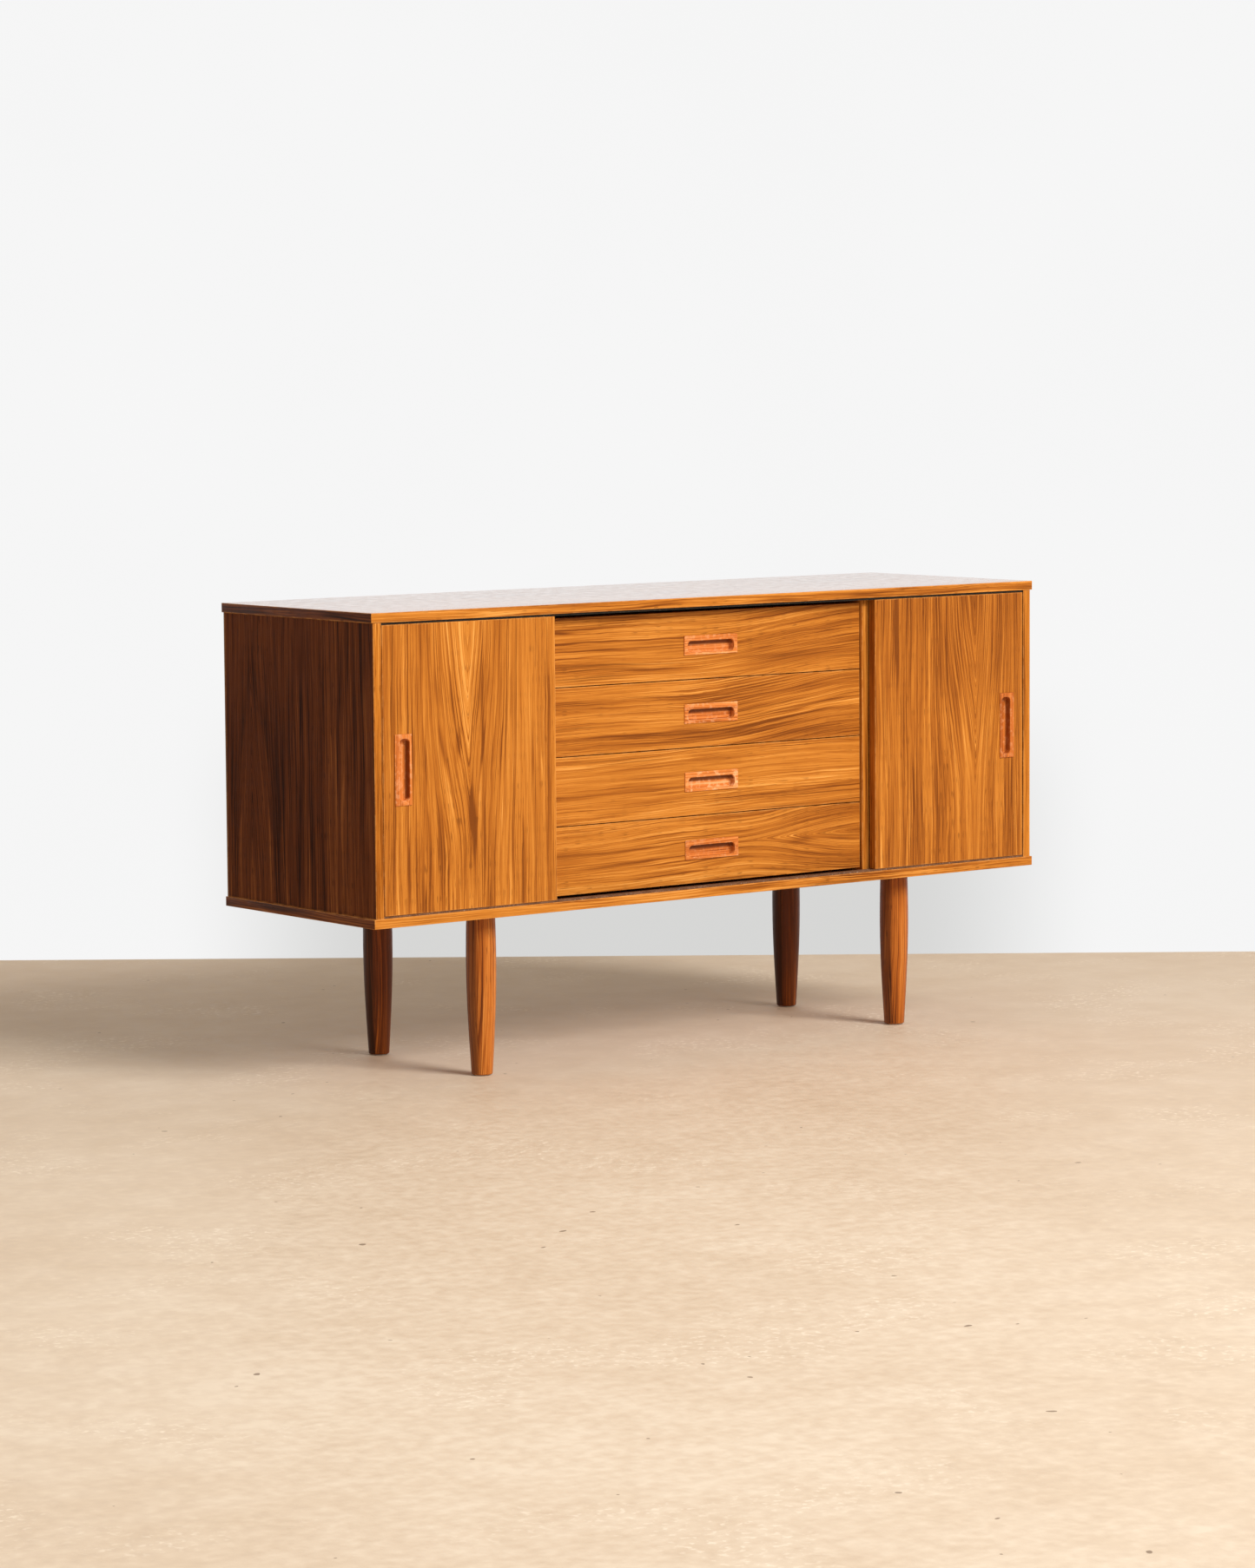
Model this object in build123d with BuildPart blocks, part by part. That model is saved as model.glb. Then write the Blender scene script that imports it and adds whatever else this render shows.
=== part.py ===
"""Sideboard with two sliding doors and four drawers, standing on four turned legs.

Millimetres. The origin is on the floor, under the middle of the cabinet.
+X is to the right as seen from the front, +Y is to the back and +Z is up.
"""

import os
from math import radians, tan

from build123d import *

os.makedirs("parts", exist_ok=True)

# ------------------------------------------------------------ driving sizes
# Overall
length = 1440.0              # the two slabs, end to end
depth = 440.0                # the two slabs, front to back
case_height = 512.0          # underside of the bottom slab to the top
leg_height = 272.0           # floor to the underside of the bottom slab
board = 16.0                 # every chipboard panel
hardboard = 3.2              # back panel and drawer bottoms
edge_ease = 0.6              # small chamfer on every edge that shows

# Case
slab_end_overhang = 4.0      # slabs beyond the side panels
slab_front_overhang = 1.5    # slabs in front of the side panels
side_bay_width = 348.0       # clear width behind each sliding door
shelf_underside_height = 232.0
shelf_front_setback = 24.0   # shelf behind the front edge of the dividers
shelf_side_gap = 1.0
shelf_back_gap = 2.0

# Doors and their tracks
door_face_setback = 2.0      # door face behind the front edge of the slabs
door_side_gap = 1.5          # closed door to its side panel
door_lap_on_divider = 2.5    # closed door in front of the divider's edge
door_to_divider_gap = 3.0    # back of the door to the front edge of the divider
door_track_gap = 0.4         # door edges to the faces of the two tracks
track_width = 14.0
track_wall = 1.5
track_channel_width = 5.0
lower_track_rise = 3.0       # track above the bottom slab
lower_channel_sink = 3.0     # channel floor below the slab's surface
upper_track_drop = 3.5       # track below the top slab
upper_channel_sink = 5.5     # channel roof above the slab's underside
track_end_gap = 0.5

# Door glides, let into the bottom edge, and guide pins, let into the top edge
glide_length = 30.0
glide_base_thickness = 8.0
glide_base_height = 6.0
glide_tongue_gap = 0.2
glide_inset = 45.0           # glide and guide centres from the door's ends
guide_radius = 4.0
guide_bore_depth = 25.0
guide_reach = 7.0            # how far a guide pin enters the upper channel
guide_channel_gap = 0.3

# Drawers
drawer_count = 4
drawer_face_recess = 5.0     # drawer face behind the front edge of the dividers
drawer_side_gap = 1.5
drawer_seam = 1.5            # gap between one drawer front and the next
bottom_drawer_gap = 6.0      # lowest drawer front above the bottom slab
top_drawer_gap = 9.5         # highest drawer front below the top slab
drawer_side_thickness = 12.0
drawer_side_length = 370.0
drawer_side_bottom_step = 10.0   # drawer sides above the lower edge of the front
drawer_side_top_step = 15.0      # drawer sides below the upper edge of the front
drawer_bottom_step = 6.0         # bottom panel above the lower edge of the sides
drawer_bottom_groove = 5.0
drawer_bottom_gap = 0.2

# Drawer runners: hardwood strips on the dividers, in grooves of the drawer sides
runner_height = 12.0
runner_length = 340.0
runner_engagement = 7.0      # runner inside the groove
runner_groove_gap = 0.4      # under the runner
runner_groove_end_gap = 0.5  # between the runner and the floor of the groove

# Inset pulls
pull_length = 116.0
pull_width = 33.0
pull_thickness = 14.0
pull_proud = 1.8             # pull in front of its panel
pull_wide_rim = 9.0
pull_narrow_rim = 4.0
pull_end_rim = 7.5
pull_recess_depth = 10.0
pull_recess_corner = 7.5
pull_glue_gap = 0.1
door_pull_inset = 22.5       # pull to the outer edge of its door

# Legs
leg_end_inset = 265.0        # leg axes from the ends of the slabs
leg_front_inset = 74.0
leg_back_inset = 66.0
leg_top_diameter = 48.0
leg_belly_diameter = 50.4
leg_belly_height = 168.0
leg_foot_diameter = 35.6
leg_foot_round = 2.5
leg_foot_splay = 0.06        # sideways per unit of height, where the taper starts
foot_glide_diameter = 24.0
foot_glide_height = 1.5

# Fasteners
dowel_radius = 4.0
dowel_in_slab = 10.0
dowel_in_upright = 20.0
dowel_end_inset = 60.0       # outer case dowels from the front and back edges
drawer_dowel_radius = 3.0
drawer_dowel_inset = 14.0    # dowels from the upper and lower edges of the sides
drawer_dowel_in_front = 8.0
drawer_dowel_in_side = 16.0
drawer_dowel_in_back = 18.0
glue_gap = 0.05              # a glued dowel or pin in its hole, on the radius
hole_end_gap = 0.5           # empty length at the end of a blind hole
shelf_pin_radius = 2.5
shelf_pin_depth = 10.0
shelf_pin_shoulder = (9.0, 8.0, 6.0)
shelf_pin_rows = 3
shelf_pin_pitch = 32.0
shelf_pin_front_inset = 35.0
shelf_pin_back_inset = 50.0
leg_bolt_radius = 4.0
leg_bolt_in_leg = 35.0
leg_insert_radius = 6.0
leg_insert_cover = 3.0       # wood left over the blind hole of the insert nut
screw_radius = 1.75
screw_head_radius = 3.5
screw_in_divider = 11.5
screw_gap = 0.1
screw_end_inset = 30.0
countersink_angle = 82.0
nail_radius = 0.8
nail_head_radius = 1.75
nail_head_height = 0.8
nail_length = 20.0
nails_per_upright = 4
nail_end_inset = 40.0

# ------------------------------------------------------------ worked-out places
front_y = -depth / 2
back_y = depth / 2
floor_z = leg_height + board                  # inside face of the bottom slab
ceiling_z = leg_height + case_height - board  # inside face of the top slab
inside_height = ceiling_z - floor_z
inside_x = length / 2 - slab_end_overhang - board
inside_length = 2 * inside_x
upright_back_y = back_y - hardboard
side_front_y = front_y + slab_front_overhang

divider_outer_x = inside_x - side_bay_width
divider_inner_x = divider_outer_x - board
door_face_y = front_y + door_face_setback
track_y = door_face_y + board / 2
divider_front_y = door_face_y + board + door_to_divider_gap

track_stem_width = track_channel_width + 2 * track_wall
lower_stem_depth = lower_channel_sink + track_wall
upper_stem_depth = upper_channel_sink + track_wall
door_bottom_z = floor_z + lower_track_rise + door_track_gap
door_top_z = ceiling_z - upper_track_drop - door_track_gap
door_width = side_bay_width - door_side_gap + door_lap_on_divider
door_centre_x = inside_x - door_side_gap - door_width / 2

drawer_face_y = divider_front_y + drawer_face_recess
drawer_side_front_y = drawer_face_y + board
drawer_side_back_y = drawer_side_front_y + drawer_side_length
drawer_outer_x = divider_inner_x - drawer_side_gap
drawer_inner_x = drawer_outer_x - drawer_side_thickness
drawer_stack = inside_height - bottom_drawer_gap - top_drawer_gap
drawer_front_height = (drawer_stack - (drawer_count - 1) * drawer_seam) / drawer_count
drawer_pitch = drawer_front_height + drawer_seam
drawer_side_height = drawer_front_height - drawer_side_bottom_step - drawer_side_top_step
runner_thickness = drawer_side_gap + runner_engagement
runner_groove_depth = runner_engagement + runner_groove_end_gap
runner_groove_height = runner_height + runner_groove_gap
pull_pocket_depth = pull_thickness - pull_proud
pull_pocket_size = (pull_length + 2 * pull_glue_gap, pull_width + 2 * pull_glue_gap)

leg_insert_length = board - leg_insert_cover
leg_places = {
    "front_left": (leg_end_inset - length / 2, front_y + leg_front_inset),
    "front_right": (length / 2 - leg_end_inset, front_y + leg_front_inset),
    "back_left": (leg_end_inset - length / 2, back_y - leg_back_inset),
    "back_right": (length / 2 - leg_end_inset, back_y - leg_back_inset),
}

case_dowel_ys = (front_y + dowel_end_inset, 0.0, back_y - dowel_end_inset)
upright_xs = [
    side * (inner + board / 2) for side in (-1, 1) for inner in (divider_inner_x, inside_x)
]
dowel_places = [(x, y) for x in upright_xs for y in case_dowel_ys]
dowel_hole_radius = dowel_radius + glue_gap
drawer_dowel_hole_radius = drawer_dowel_radius + glue_gap

shelf_underside_z = floor_z + shelf_underside_height
shelf_front_y = divider_front_y + shelf_front_setback
shelf_back_y = upright_back_y - shelf_back_gap
shelf_pin_ys = (shelf_front_y + shelf_pin_front_inset, shelf_back_y - shelf_pin_back_inset)
shelf_pin_z = shelf_underside_z - shelf_pin_shoulder[2] / 2
nail_zs = [
    floor_z + nail_end_inset + i * (inside_height - 2 * nail_end_inset) / (nails_per_upright - 1)
    for i in range(nails_per_upright)
]


def save(piece, label):
    """Names a finished piece and writes it to its own file."""
    piece.part.label = label
    export_step(piece.part, f"parts/{label}.step")


def side_name(side):
    return "left" if side < 0 else "right"


# ------------------------------------------------------------ slabs and uprights
def make_slab(label, inner_z, outward, stem_depth):
    """Top or bottom slab: a board with a track groove and blind dowel holes inside."""
    outer_z = inner_z + outward * board
    with BuildPart() as slab:
        with BuildSketch(Plane.XY.offset(min(inner_z, outer_z))):
            Rectangle(length, depth)
        extrude(amount=board)
        chamfer(slab.edges(), edge_ease)
        with BuildSketch(Plane.XY.offset(inner_z)):
            with Locations((0, track_y)):
                Rectangle(inside_length, track_stem_width)
        extrude(amount=outward * stem_depth, mode=Mode.SUBTRACT)
        with BuildSketch(Plane.XY.offset(inner_z)):
            with Locations(*dowel_places):
                Circle(dowel_hole_radius)
        extrude(amount=outward * (dowel_in_slab + hole_end_gap), mode=Mode.SUBTRACT)
        if label == "bottom_panel":
            with BuildSketch(Plane.XY.offset(leg_height)):
                with Locations(*leg_places.values()):
                    Circle(leg_insert_radius + glue_gap)
            extrude(amount=leg_insert_length + hole_end_gap, mode=Mode.SUBTRACT)
    save(slab, label)


def make_upright(label, inner_x, outward, front, bay_faces):
    """Side panel or divider. bay_faces holds (x, direction into the board) of pinned faces."""
    centre_x = inner_x + outward * board / 2
    upright_depth = upright_back_y - front
    with BuildPart() as upright:
        with BuildSketch(Plane.XY.offset(floor_z)):
            with Locations((centre_x, front + upright_depth / 2)):
                Rectangle(board, upright_depth)
        extrude(amount=inside_height)
        chamfer(upright.faces().sort_by(Axis.Y)[0].edges().filter_by(Axis.Z), edge_ease)
        for end_z, inward in ((floor_z, 1), (ceiling_z, -1)):
            with BuildSketch(Plane.XY.offset(end_z)):
                with Locations(*[(centre_x, y) for y in case_dowel_ys]):
                    Circle(dowel_hole_radius)
            extrude(amount=inward * (dowel_in_upright + hole_end_gap), mode=Mode.SUBTRACT)
        for z in nail_zs:
            with Locations(Plane(origin=(centre_x, upright_back_y, z), z_dir=(0, 1, 0))):
                Hole(nail_radius + glue_gap, depth=nail_length - hardboard + hole_end_gap)
        for face_x, into in bay_faces:
            for y in shelf_pin_ys:
                for row in range(shelf_pin_rows):
                    z = shelf_pin_z + (row - shelf_pin_rows // 2) * shelf_pin_pitch
                    with Locations(Plane(origin=(face_x, y, z), z_dir=(-into, 0, 0))):
                        Hole(shelf_pin_radius + glue_gap, depth=shelf_pin_depth + hole_end_gap)
        if front == divider_front_y:
            for x, y, z in runner_screw_places(side=outward):
                with Locations(Plane(origin=(inner_x, y, z), z_dir=(-outward, 0, 0))):
                    Hole(screw_radius + screw_gap, depth=screw_in_divider + hole_end_gap)
    save(upright, label)


def make_back_panel():
    """Thin hardboard, nailed to the rear edges of the four uprights."""
    with BuildPart() as back_panel:
        with BuildSketch(Plane.XY.offset(floor_z)):
            with Locations((0, back_y - hardboard / 2)):
                Rectangle(inside_length + 2 * board, hardboard)
        extrude(amount=inside_height)
        for x in upright_xs:
            for z in nail_zs:
                with Locations(Plane(origin=(x, back_y, z), z_dir=(0, 1, 0))):
                    CounterBoreHole(
                        nail_radius + glue_gap,
                        nail_head_radius + glue_gap,
                        nail_head_height,
                        depth=hardboard,
                    )
    save(back_panel, "back_panel")


def make_shelf(side):
    width = side_bay_width - 2 * shelf_side_gap
    shelf_depth = shelf_back_y - shelf_front_y
    centre = (side * (divider_outer_x + side_bay_width / 2), shelf_front_y + shelf_depth / 2)
    with BuildPart() as shelf:
        with BuildSketch(Plane.XY.offset(shelf_underside_z)):
            with Locations(centre):
                Rectangle(width, shelf_depth)
        extrude(amount=board)
        chamfer(shelf.faces().sort_by(Axis.Y)[0].edges().filter_by(Axis.X), edge_ease)
    save(shelf, f"shelf_{side_name(side)}")


# ------------------------------------------------------------ tracks
def make_track(label, slab_z, into_slab, proud, sink):
    """Plastic channel: a flange on the slab and a stem let into the slab's groove."""
    stem_depth = sink + track_wall
    middle_z = slab_z + into_slab * (stem_depth - proud) / 2
    channel_z = slab_z + into_slab * (sink - proud) / 2
    with BuildPart() as track:
        with BuildSketch(Plane.YZ.offset(track_end_gap - inside_x)):
            with Locations((track_y, slab_z - into_slab * proud / 2)):
                Rectangle(track_width, proud)
            with Locations((track_y, middle_z)):
                Rectangle(track_stem_width, stem_depth + proud)
            with Locations((track_y, channel_z)):
                Rectangle(track_channel_width, sink + proud, mode=Mode.SUBTRACT)
        extrude(amount=inside_length - 2 * track_end_gap)
    save(track, label)


# ------------------------------------------------------------ pulls
def pull_plane(centre_x, panel_face_y, centre_z, direction):
    """Plane on a panel's face: local X runs along the pull, local +Y is its wide rim."""
    return Plane(
        origin=(centre_x, panel_face_y, centre_z), x_dir=direction, z_dir=(0, -1, 0)
    )


def make_pull(plane, label):
    """Solid hardwood pull with a finger recess nearer to one of its long edges."""
    recess_length = pull_length - 2 * pull_end_rim
    recess_width = pull_width - pull_wide_rim - pull_narrow_rim
    recess_shift = (pull_narrow_rim - pull_wide_rim) / 2
    floor_round = 2.0
    rim_round = 0.8
    with BuildPart() as pull:
        with BuildSketch(plane.offset(pull_proud)):
            Rectangle(pull_length, pull_width)
        extrude(amount=-pull_thickness)
        fillet(pull.faces().sort_by(Axis.Y)[0].edges(), rim_round)
        with BuildSketch(plane.offset(pull_proud)):
            with Locations((0, recess_shift)):
                RectangleRounded(recess_length, recess_width, pull_recess_corner)
        extrude(amount=-pull_recess_depth, mode=Mode.SUBTRACT)
        recess_floor = pull.faces().filter_by(Axis.Y).sort_by(Axis.Y)[1]
        fillet(recess_floor.edges(), floor_round)
    save(pull, label)


# ------------------------------------------------------------ doors
def glide_xs(side):
    reach = door_width / 2 - glide_inset
    return [side * door_centre_x + end * reach for end in (-1, 1)]


def door_pull_plane(side):
    x = side * (door_centre_x + door_width / 2 - door_pull_inset - pull_width / 2)
    return pull_plane(x, door_face_y, (door_bottom_z + door_top_z) / 2, (0, 0, -side))


def make_door(side):
    """Sliding door with a pull pocket, two glide mortises and two guide bores."""
    with BuildPart() as door:
        with BuildSketch(Plane.XY.offset(door_bottom_z)):
            with Locations((side * door_centre_x, track_y)):
                Rectangle(door_width, board)
        extrude(amount=door_top_z - door_bottom_z)
        chamfer(door.edges(), edge_ease)
        with BuildSketch(door_pull_plane(side)):
            Rectangle(*pull_pocket_size)
        extrude(amount=-pull_pocket_depth, mode=Mode.SUBTRACT)
        with BuildSketch(Plane.XY.offset(door_bottom_z)):
            with Locations(*[(x, track_y) for x in glide_xs(side)]):
                Rectangle(glide_length, glide_base_thickness)
        extrude(amount=glide_base_height, mode=Mode.SUBTRACT)
        with BuildSketch(Plane.XY.offset(door_top_z)):
            with Locations(*[(x, track_y) for x in glide_xs(side)]):
                Circle(guide_radius + glue_gap)
        extrude(amount=-guide_bore_depth, mode=Mode.SUBTRACT)
    save(door, f"door_{side_name(side)}")


def make_door_glides(side):
    """Plastic glides: a base in the door's mortise, a tongue standing on the channel floor."""
    tongue_foot_z = floor_z - lower_channel_sink
    with BuildPart() as glides:
        with BuildSketch(Plane.XY.offset(door_bottom_z)):
            with Locations(*[(x, track_y) for x in glide_xs(side)]):
                Rectangle(glide_length, glide_base_thickness)
        extrude(amount=glide_base_height)
        with BuildSketch(Plane.XY.offset(tongue_foot_z)):
            with Locations(*[(x, track_y) for x in glide_xs(side)]):
                Rectangle(glide_length, track_channel_width - 2 * glide_tongue_gap)
        extrude(amount=door_bottom_z - tongue_foot_z)
    save(glides, f"door_glides_{side_name(side)}")


def make_door_guides(side):
    """Plastic guide pins in the door's top edge, with a thinner nose in the upper channel."""
    nose_top_z = ceiling_z - upper_track_drop + guide_reach
    stem_length = guide_bore_depth - hole_end_gap
    with BuildPart() as guides:
        with BuildSketch(Plane.XY.offset(door_top_z - stem_length)):
            with Locations(*[(x, track_y) for x in glide_xs(side)]):
                Circle(guide_radius)
        extrude(amount=stem_length)
        with BuildSketch(Plane.XY.offset(door_top_z)):
            with Locations(*[(x, track_y) for x in glide_xs(side)]):
                Circle(track_channel_width / 2 - guide_channel_gap)
        extrude(amount=nose_top_z - door_top_z)
    save(guides, f"door_guides_{side_name(side)}")


# ------------------------------------------------------------ drawers
def drawer_bottom_edge(number):
    """Lower edge of a drawer front. Drawer 1 is the highest."""
    return floor_z + bottom_drawer_gap + (drawer_count - number) * drawer_pitch


def drawer_levels(number):
    """Heights that the pieces of one drawer share."""
    front_z = drawer_bottom_edge(number)
    side_z = front_z + drawer_side_bottom_step
    groove_z = side_z + (drawer_side_height - runner_groove_height) / 2
    return front_z, side_z, groove_z


def drawer_dowel_zs(side_z):
    return (side_z + drawer_dowel_inset, side_z + drawer_side_height - drawer_dowel_inset)


def drawer_back_dowel_zs(side_z):
    """The back stands on the bottom panel, so its lower dowels sit higher."""
    lower = side_z + drawer_bottom_step + hardboard + drawer_dowel_inset
    return (lower, side_z + drawer_side_height - drawer_dowel_inset)


def runner_z(number):
    """Middle height of a runner: its top carries the roof of the drawer's groove."""
    groove_z = drawer_levels(number)[2]
    return groove_z + runner_groove_height - runner_height / 2


def runner_screw_places(side):
    """Points on a divider's inner face where the screws of its runners go in."""
    start = drawer_side_front_y + screw_end_inset
    end = drawer_side_front_y + runner_length - screw_end_inset
    return [
        (side * divider_inner_x, y, runner_z(number))
        for number in range(1, drawer_count + 1)
        for y in (start, (start + end) / 2, end)
    ]


def side_dowel_x(side):
    return side * (drawer_outer_x - drawer_side_thickness / 2)


def make_drawer_front(number):
    front_z, side_z, _ = drawer_levels(number)
    width = 2 * drawer_outer_x
    with BuildPart() as front:
        with BuildSketch(Plane.XY.offset(front_z)):
            with Locations((0, drawer_face_y + board / 2)):
                Rectangle(width, board)
        extrude(amount=drawer_front_height)
        chamfer(front.faces().sort_by(Axis.Y)[0].edges(), edge_ease)
        with BuildSketch(drawer_pull_plane(number)):
            Rectangle(*pull_pocket_size)
        extrude(amount=-pull_pocket_depth, mode=Mode.SUBTRACT)
        with BuildSketch(Plane.XY.offset(side_z + drawer_bottom_step)):
            with Locations((0, drawer_side_front_y - drawer_bottom_groove / 2)):
                Rectangle(2 * (drawer_inner_x + drawer_bottom_groove), drawer_bottom_groove)
        extrude(amount=hardboard, mode=Mode.SUBTRACT)
        for side in (-1, 1):
            for z in drawer_dowel_zs(side_z):
                place = (side_dowel_x(side), drawer_side_front_y, z)
                with Locations(Plane(origin=place, z_dir=(0, 1, 0))):
                    Hole(drawer_dowel_hole_radius, depth=drawer_dowel_in_front + hole_end_gap)
    save(front, f"drawer_{number}_front")


def drawer_pull_plane(number):
    middle_z = drawer_bottom_edge(number) + drawer_front_height / 2
    return pull_plane(0, drawer_face_y, middle_z, (1, 0, 0))


def make_drawer_side(number, side):
    """Drawer side with a runner groove outside and a groove for the bottom inside."""
    _, side_z, groove_z = drawer_levels(number)
    middle_y = (drawer_side_front_y + drawer_side_back_y) / 2
    centre_x = side_dowel_x(side)
    back_y_centre = drawer_side_back_y - drawer_side_thickness / 2
    with BuildPart() as drawer_side:
        with BuildSketch(Plane.XY.offset(side_z)):
            with Locations((centre_x, middle_y)):
                Rectangle(drawer_side_thickness, drawer_side_length)
        extrude(amount=drawer_side_height)
        with BuildSketch(Plane.XY.offset(groove_z)):
            with Locations((side * (drawer_outer_x - runner_groove_depth / 2), middle_y)):
                Rectangle(runner_groove_depth, drawer_side_length)
        extrude(amount=runner_groove_height, mode=Mode.SUBTRACT)
        with BuildSketch(Plane.XY.offset(side_z + drawer_bottom_step)):
            with Locations((side * (drawer_inner_x + drawer_bottom_groove / 2), middle_y)):
                Rectangle(drawer_bottom_groove, drawer_side_length)
        extrude(amount=hardboard, mode=Mode.SUBTRACT)
        for z in drawer_dowel_zs(side_z):
            with Locations(Plane(origin=(centre_x, drawer_side_front_y, z), z_dir=(0, -1, 0))):
                Hole(drawer_dowel_hole_radius, depth=drawer_dowel_in_side + hole_end_gap)
        for z in drawer_back_dowel_zs(side_z):
            place = (side * drawer_outer_x, back_y_centre, z)
            with Locations(Plane(origin=place, z_dir=(side, 0, 0))):
                Hole(drawer_dowel_hole_radius, depth=drawer_side_thickness)
    save(drawer_side, f"drawer_{number}_side_{side_name(side)}")


def make_drawer_back(number):
    """Back of the drawer box, between the sides and on top of the bottom panel."""
    _, side_z, _ = drawer_levels(number)
    foot_z = side_z + drawer_bottom_step + hardboard
    centre_y = drawer_side_back_y - drawer_side_thickness / 2
    with BuildPart() as back:
        with BuildSketch(Plane.XY.offset(foot_z)):
            with Locations((0, centre_y)):
                Rectangle(2 * drawer_inner_x, drawer_side_thickness)
        extrude(amount=side_z + drawer_side_height - foot_z)
        for side in (-1, 1):
            for z in drawer_back_dowel_zs(side_z):
                place = (side * drawer_inner_x, centre_y, z)
                with Locations(Plane(origin=place, z_dir=(side, 0, 0))):
                    Hole(drawer_dowel_hole_radius, depth=drawer_dowel_in_back + hole_end_gap)
    save(back, f"drawer_{number}_back")


def make_drawer_bottom(number):
    """Hardboard bottom in the grooves of the sides and the front."""
    _, side_z, _ = drawer_levels(number)
    start_y = drawer_side_front_y - drawer_bottom_groove + drawer_bottom_gap
    width = 2 * (drawer_inner_x + drawer_bottom_groove - drawer_bottom_gap)
    with BuildPart() as bottom:
        with BuildSketch(Plane.XY.offset(side_z + drawer_bottom_step)):
            with Locations((0, (start_y + drawer_side_back_y) / 2)):
                Rectangle(width, drawer_side_back_y - start_y)
        extrude(amount=hardboard)
    save(bottom, f"drawer_{number}_bottom")


def make_drawer_dowels(number):
    """Eight glued dowels: four between front and sides, four between sides and back."""
    _, side_z, _ = drawer_levels(number)
    back_dowel_length = drawer_side_thickness + drawer_dowel_in_back
    with BuildPart() as dowels:
        for side in (-1, 1):
            for z in drawer_dowel_zs(side_z):
                start = (side_dowel_x(side), drawer_side_front_y - drawer_dowel_in_front, z)
                with BuildSketch(Plane(origin=start, z_dir=(0, 1, 0))):
                    Circle(drawer_dowel_radius)
                extrude(amount=drawer_dowel_in_front + drawer_dowel_in_side)
            for z in drawer_back_dowel_zs(side_z):
                y = drawer_side_back_y - drawer_side_thickness / 2
                start = (side * drawer_outer_x, y, z)
                with BuildSketch(Plane(origin=start, z_dir=(-side, 0, 0))):
                    Circle(drawer_dowel_radius)
                extrude(amount=back_dowel_length)
    save(dowels, f"drawer_{number}_dowels")


def make_runners(side):
    """Hardwood strips on one divider; their front ends stop the drawer fronts."""
    with BuildPart() as runners:
        for number in range(1, drawer_count + 1):
            centre_x = side * (divider_inner_x - runner_thickness / 2)
            with BuildSketch(Plane.XY.offset(runner_z(number) - runner_height / 2)):
                with Locations((centre_x, drawer_side_front_y + runner_length / 2)):
                    Rectangle(runner_thickness, runner_length)
            extrude(amount=runner_height)
        for _, y, z in runner_screw_places(side):
            place = (side * (divider_inner_x - runner_thickness), y, z)
            with Locations(Plane(origin=place, z_dir=(-side, 0, 0))):
                CounterSinkHole(
                    screw_radius + screw_gap,
                    screw_head_radius + screw_gap,
                    depth=runner_thickness,
                    counter_sink_angle=countersink_angle,
                )
    save(runners, f"drawer_runners_{side_name(side)}")


# ------------------------------------------------------------ legs
def make_leg(name, place):
    """Turned leg: slightly bellied above, tapered to a rounded foot."""
    foot_radius = leg_foot_diameter / 2
    foot_z = foot_glide_height
    with BuildPart() as leg:
        with BuildSketch(Plane.XZ):
            with BuildLine():
                heel = (foot_radius - leg_foot_round, foot_z)
                toe = (foot_radius, foot_z + leg_foot_round)
                Line((0, foot_z), heel)
                RadiusArc(heel, toe, -leg_foot_round)
                Spline(
                    toe,
                    (leg_belly_diameter / 2, leg_belly_height),
                    (leg_top_diameter / 2, leg_height),
                    tangents=((leg_foot_splay, 1), (-leg_foot_splay / 2, 1)),
                )
                Line((leg_top_diameter / 2, leg_height), (0, leg_height))
                Line((0, leg_height), (0, foot_z))
            make_face()
        revolve(axis=Axis.Z)
        with BuildSketch(Plane.XY.offset(leg_height)):
            Circle(leg_bolt_radius + glue_gap)
        extrude(amount=-(leg_bolt_in_leg + hole_end_gap), mode=Mode.SUBTRACT)
    leg.part.position = (place[0], place[1], 0)
    save(leg, f"leg_{name}")


def make_leg_bolts():
    """Hanger bolts between the legs and the insert nuts."""
    with BuildPart() as bolts:
        with BuildSketch(Plane.XY.offset(leg_height - leg_bolt_in_leg)):
            with Locations(*leg_places.values()):
                Circle(leg_bolt_radius)
        extrude(amount=leg_bolt_in_leg + leg_insert_length)
    save(bolts, "leg_hanger_bolts")


def make_leg_inserts():
    """Insert nuts, flush in the underside of the bottom slab."""
    with BuildPart() as inserts:
        with BuildSketch(Plane.XY.offset(leg_height)):
            with Locations(*leg_places.values()):
                Circle(leg_insert_radius)
                Circle(leg_bolt_radius + glue_gap, mode=Mode.SUBTRACT)
        extrude(amount=leg_insert_length)
    save(inserts, "leg_insert_nuts")


def make_foot_glides():
    """Plastic discs under the feet."""
    with BuildPart() as glides:
        with BuildSketch():
            with Locations(*leg_places.values()):
                Circle(foot_glide_diameter / 2)
        extrude(amount=foot_glide_height)
    save(glides, "foot_glides")


# ------------------------------------------------------------ small fasteners
def make_case_dowels():
    """Glued dowels between the slabs and the four uprights."""
    with BuildPart() as dowels:
        for start_z in (floor_z - dowel_in_slab, ceiling_z - dowel_in_upright):
            with BuildSketch(Plane.XY.offset(start_z)):
                with Locations(*dowel_places):
                    Circle(dowel_radius)
            extrude(amount=dowel_in_slab + dowel_in_upright)
    save(dowels, "case_dowels")


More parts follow.
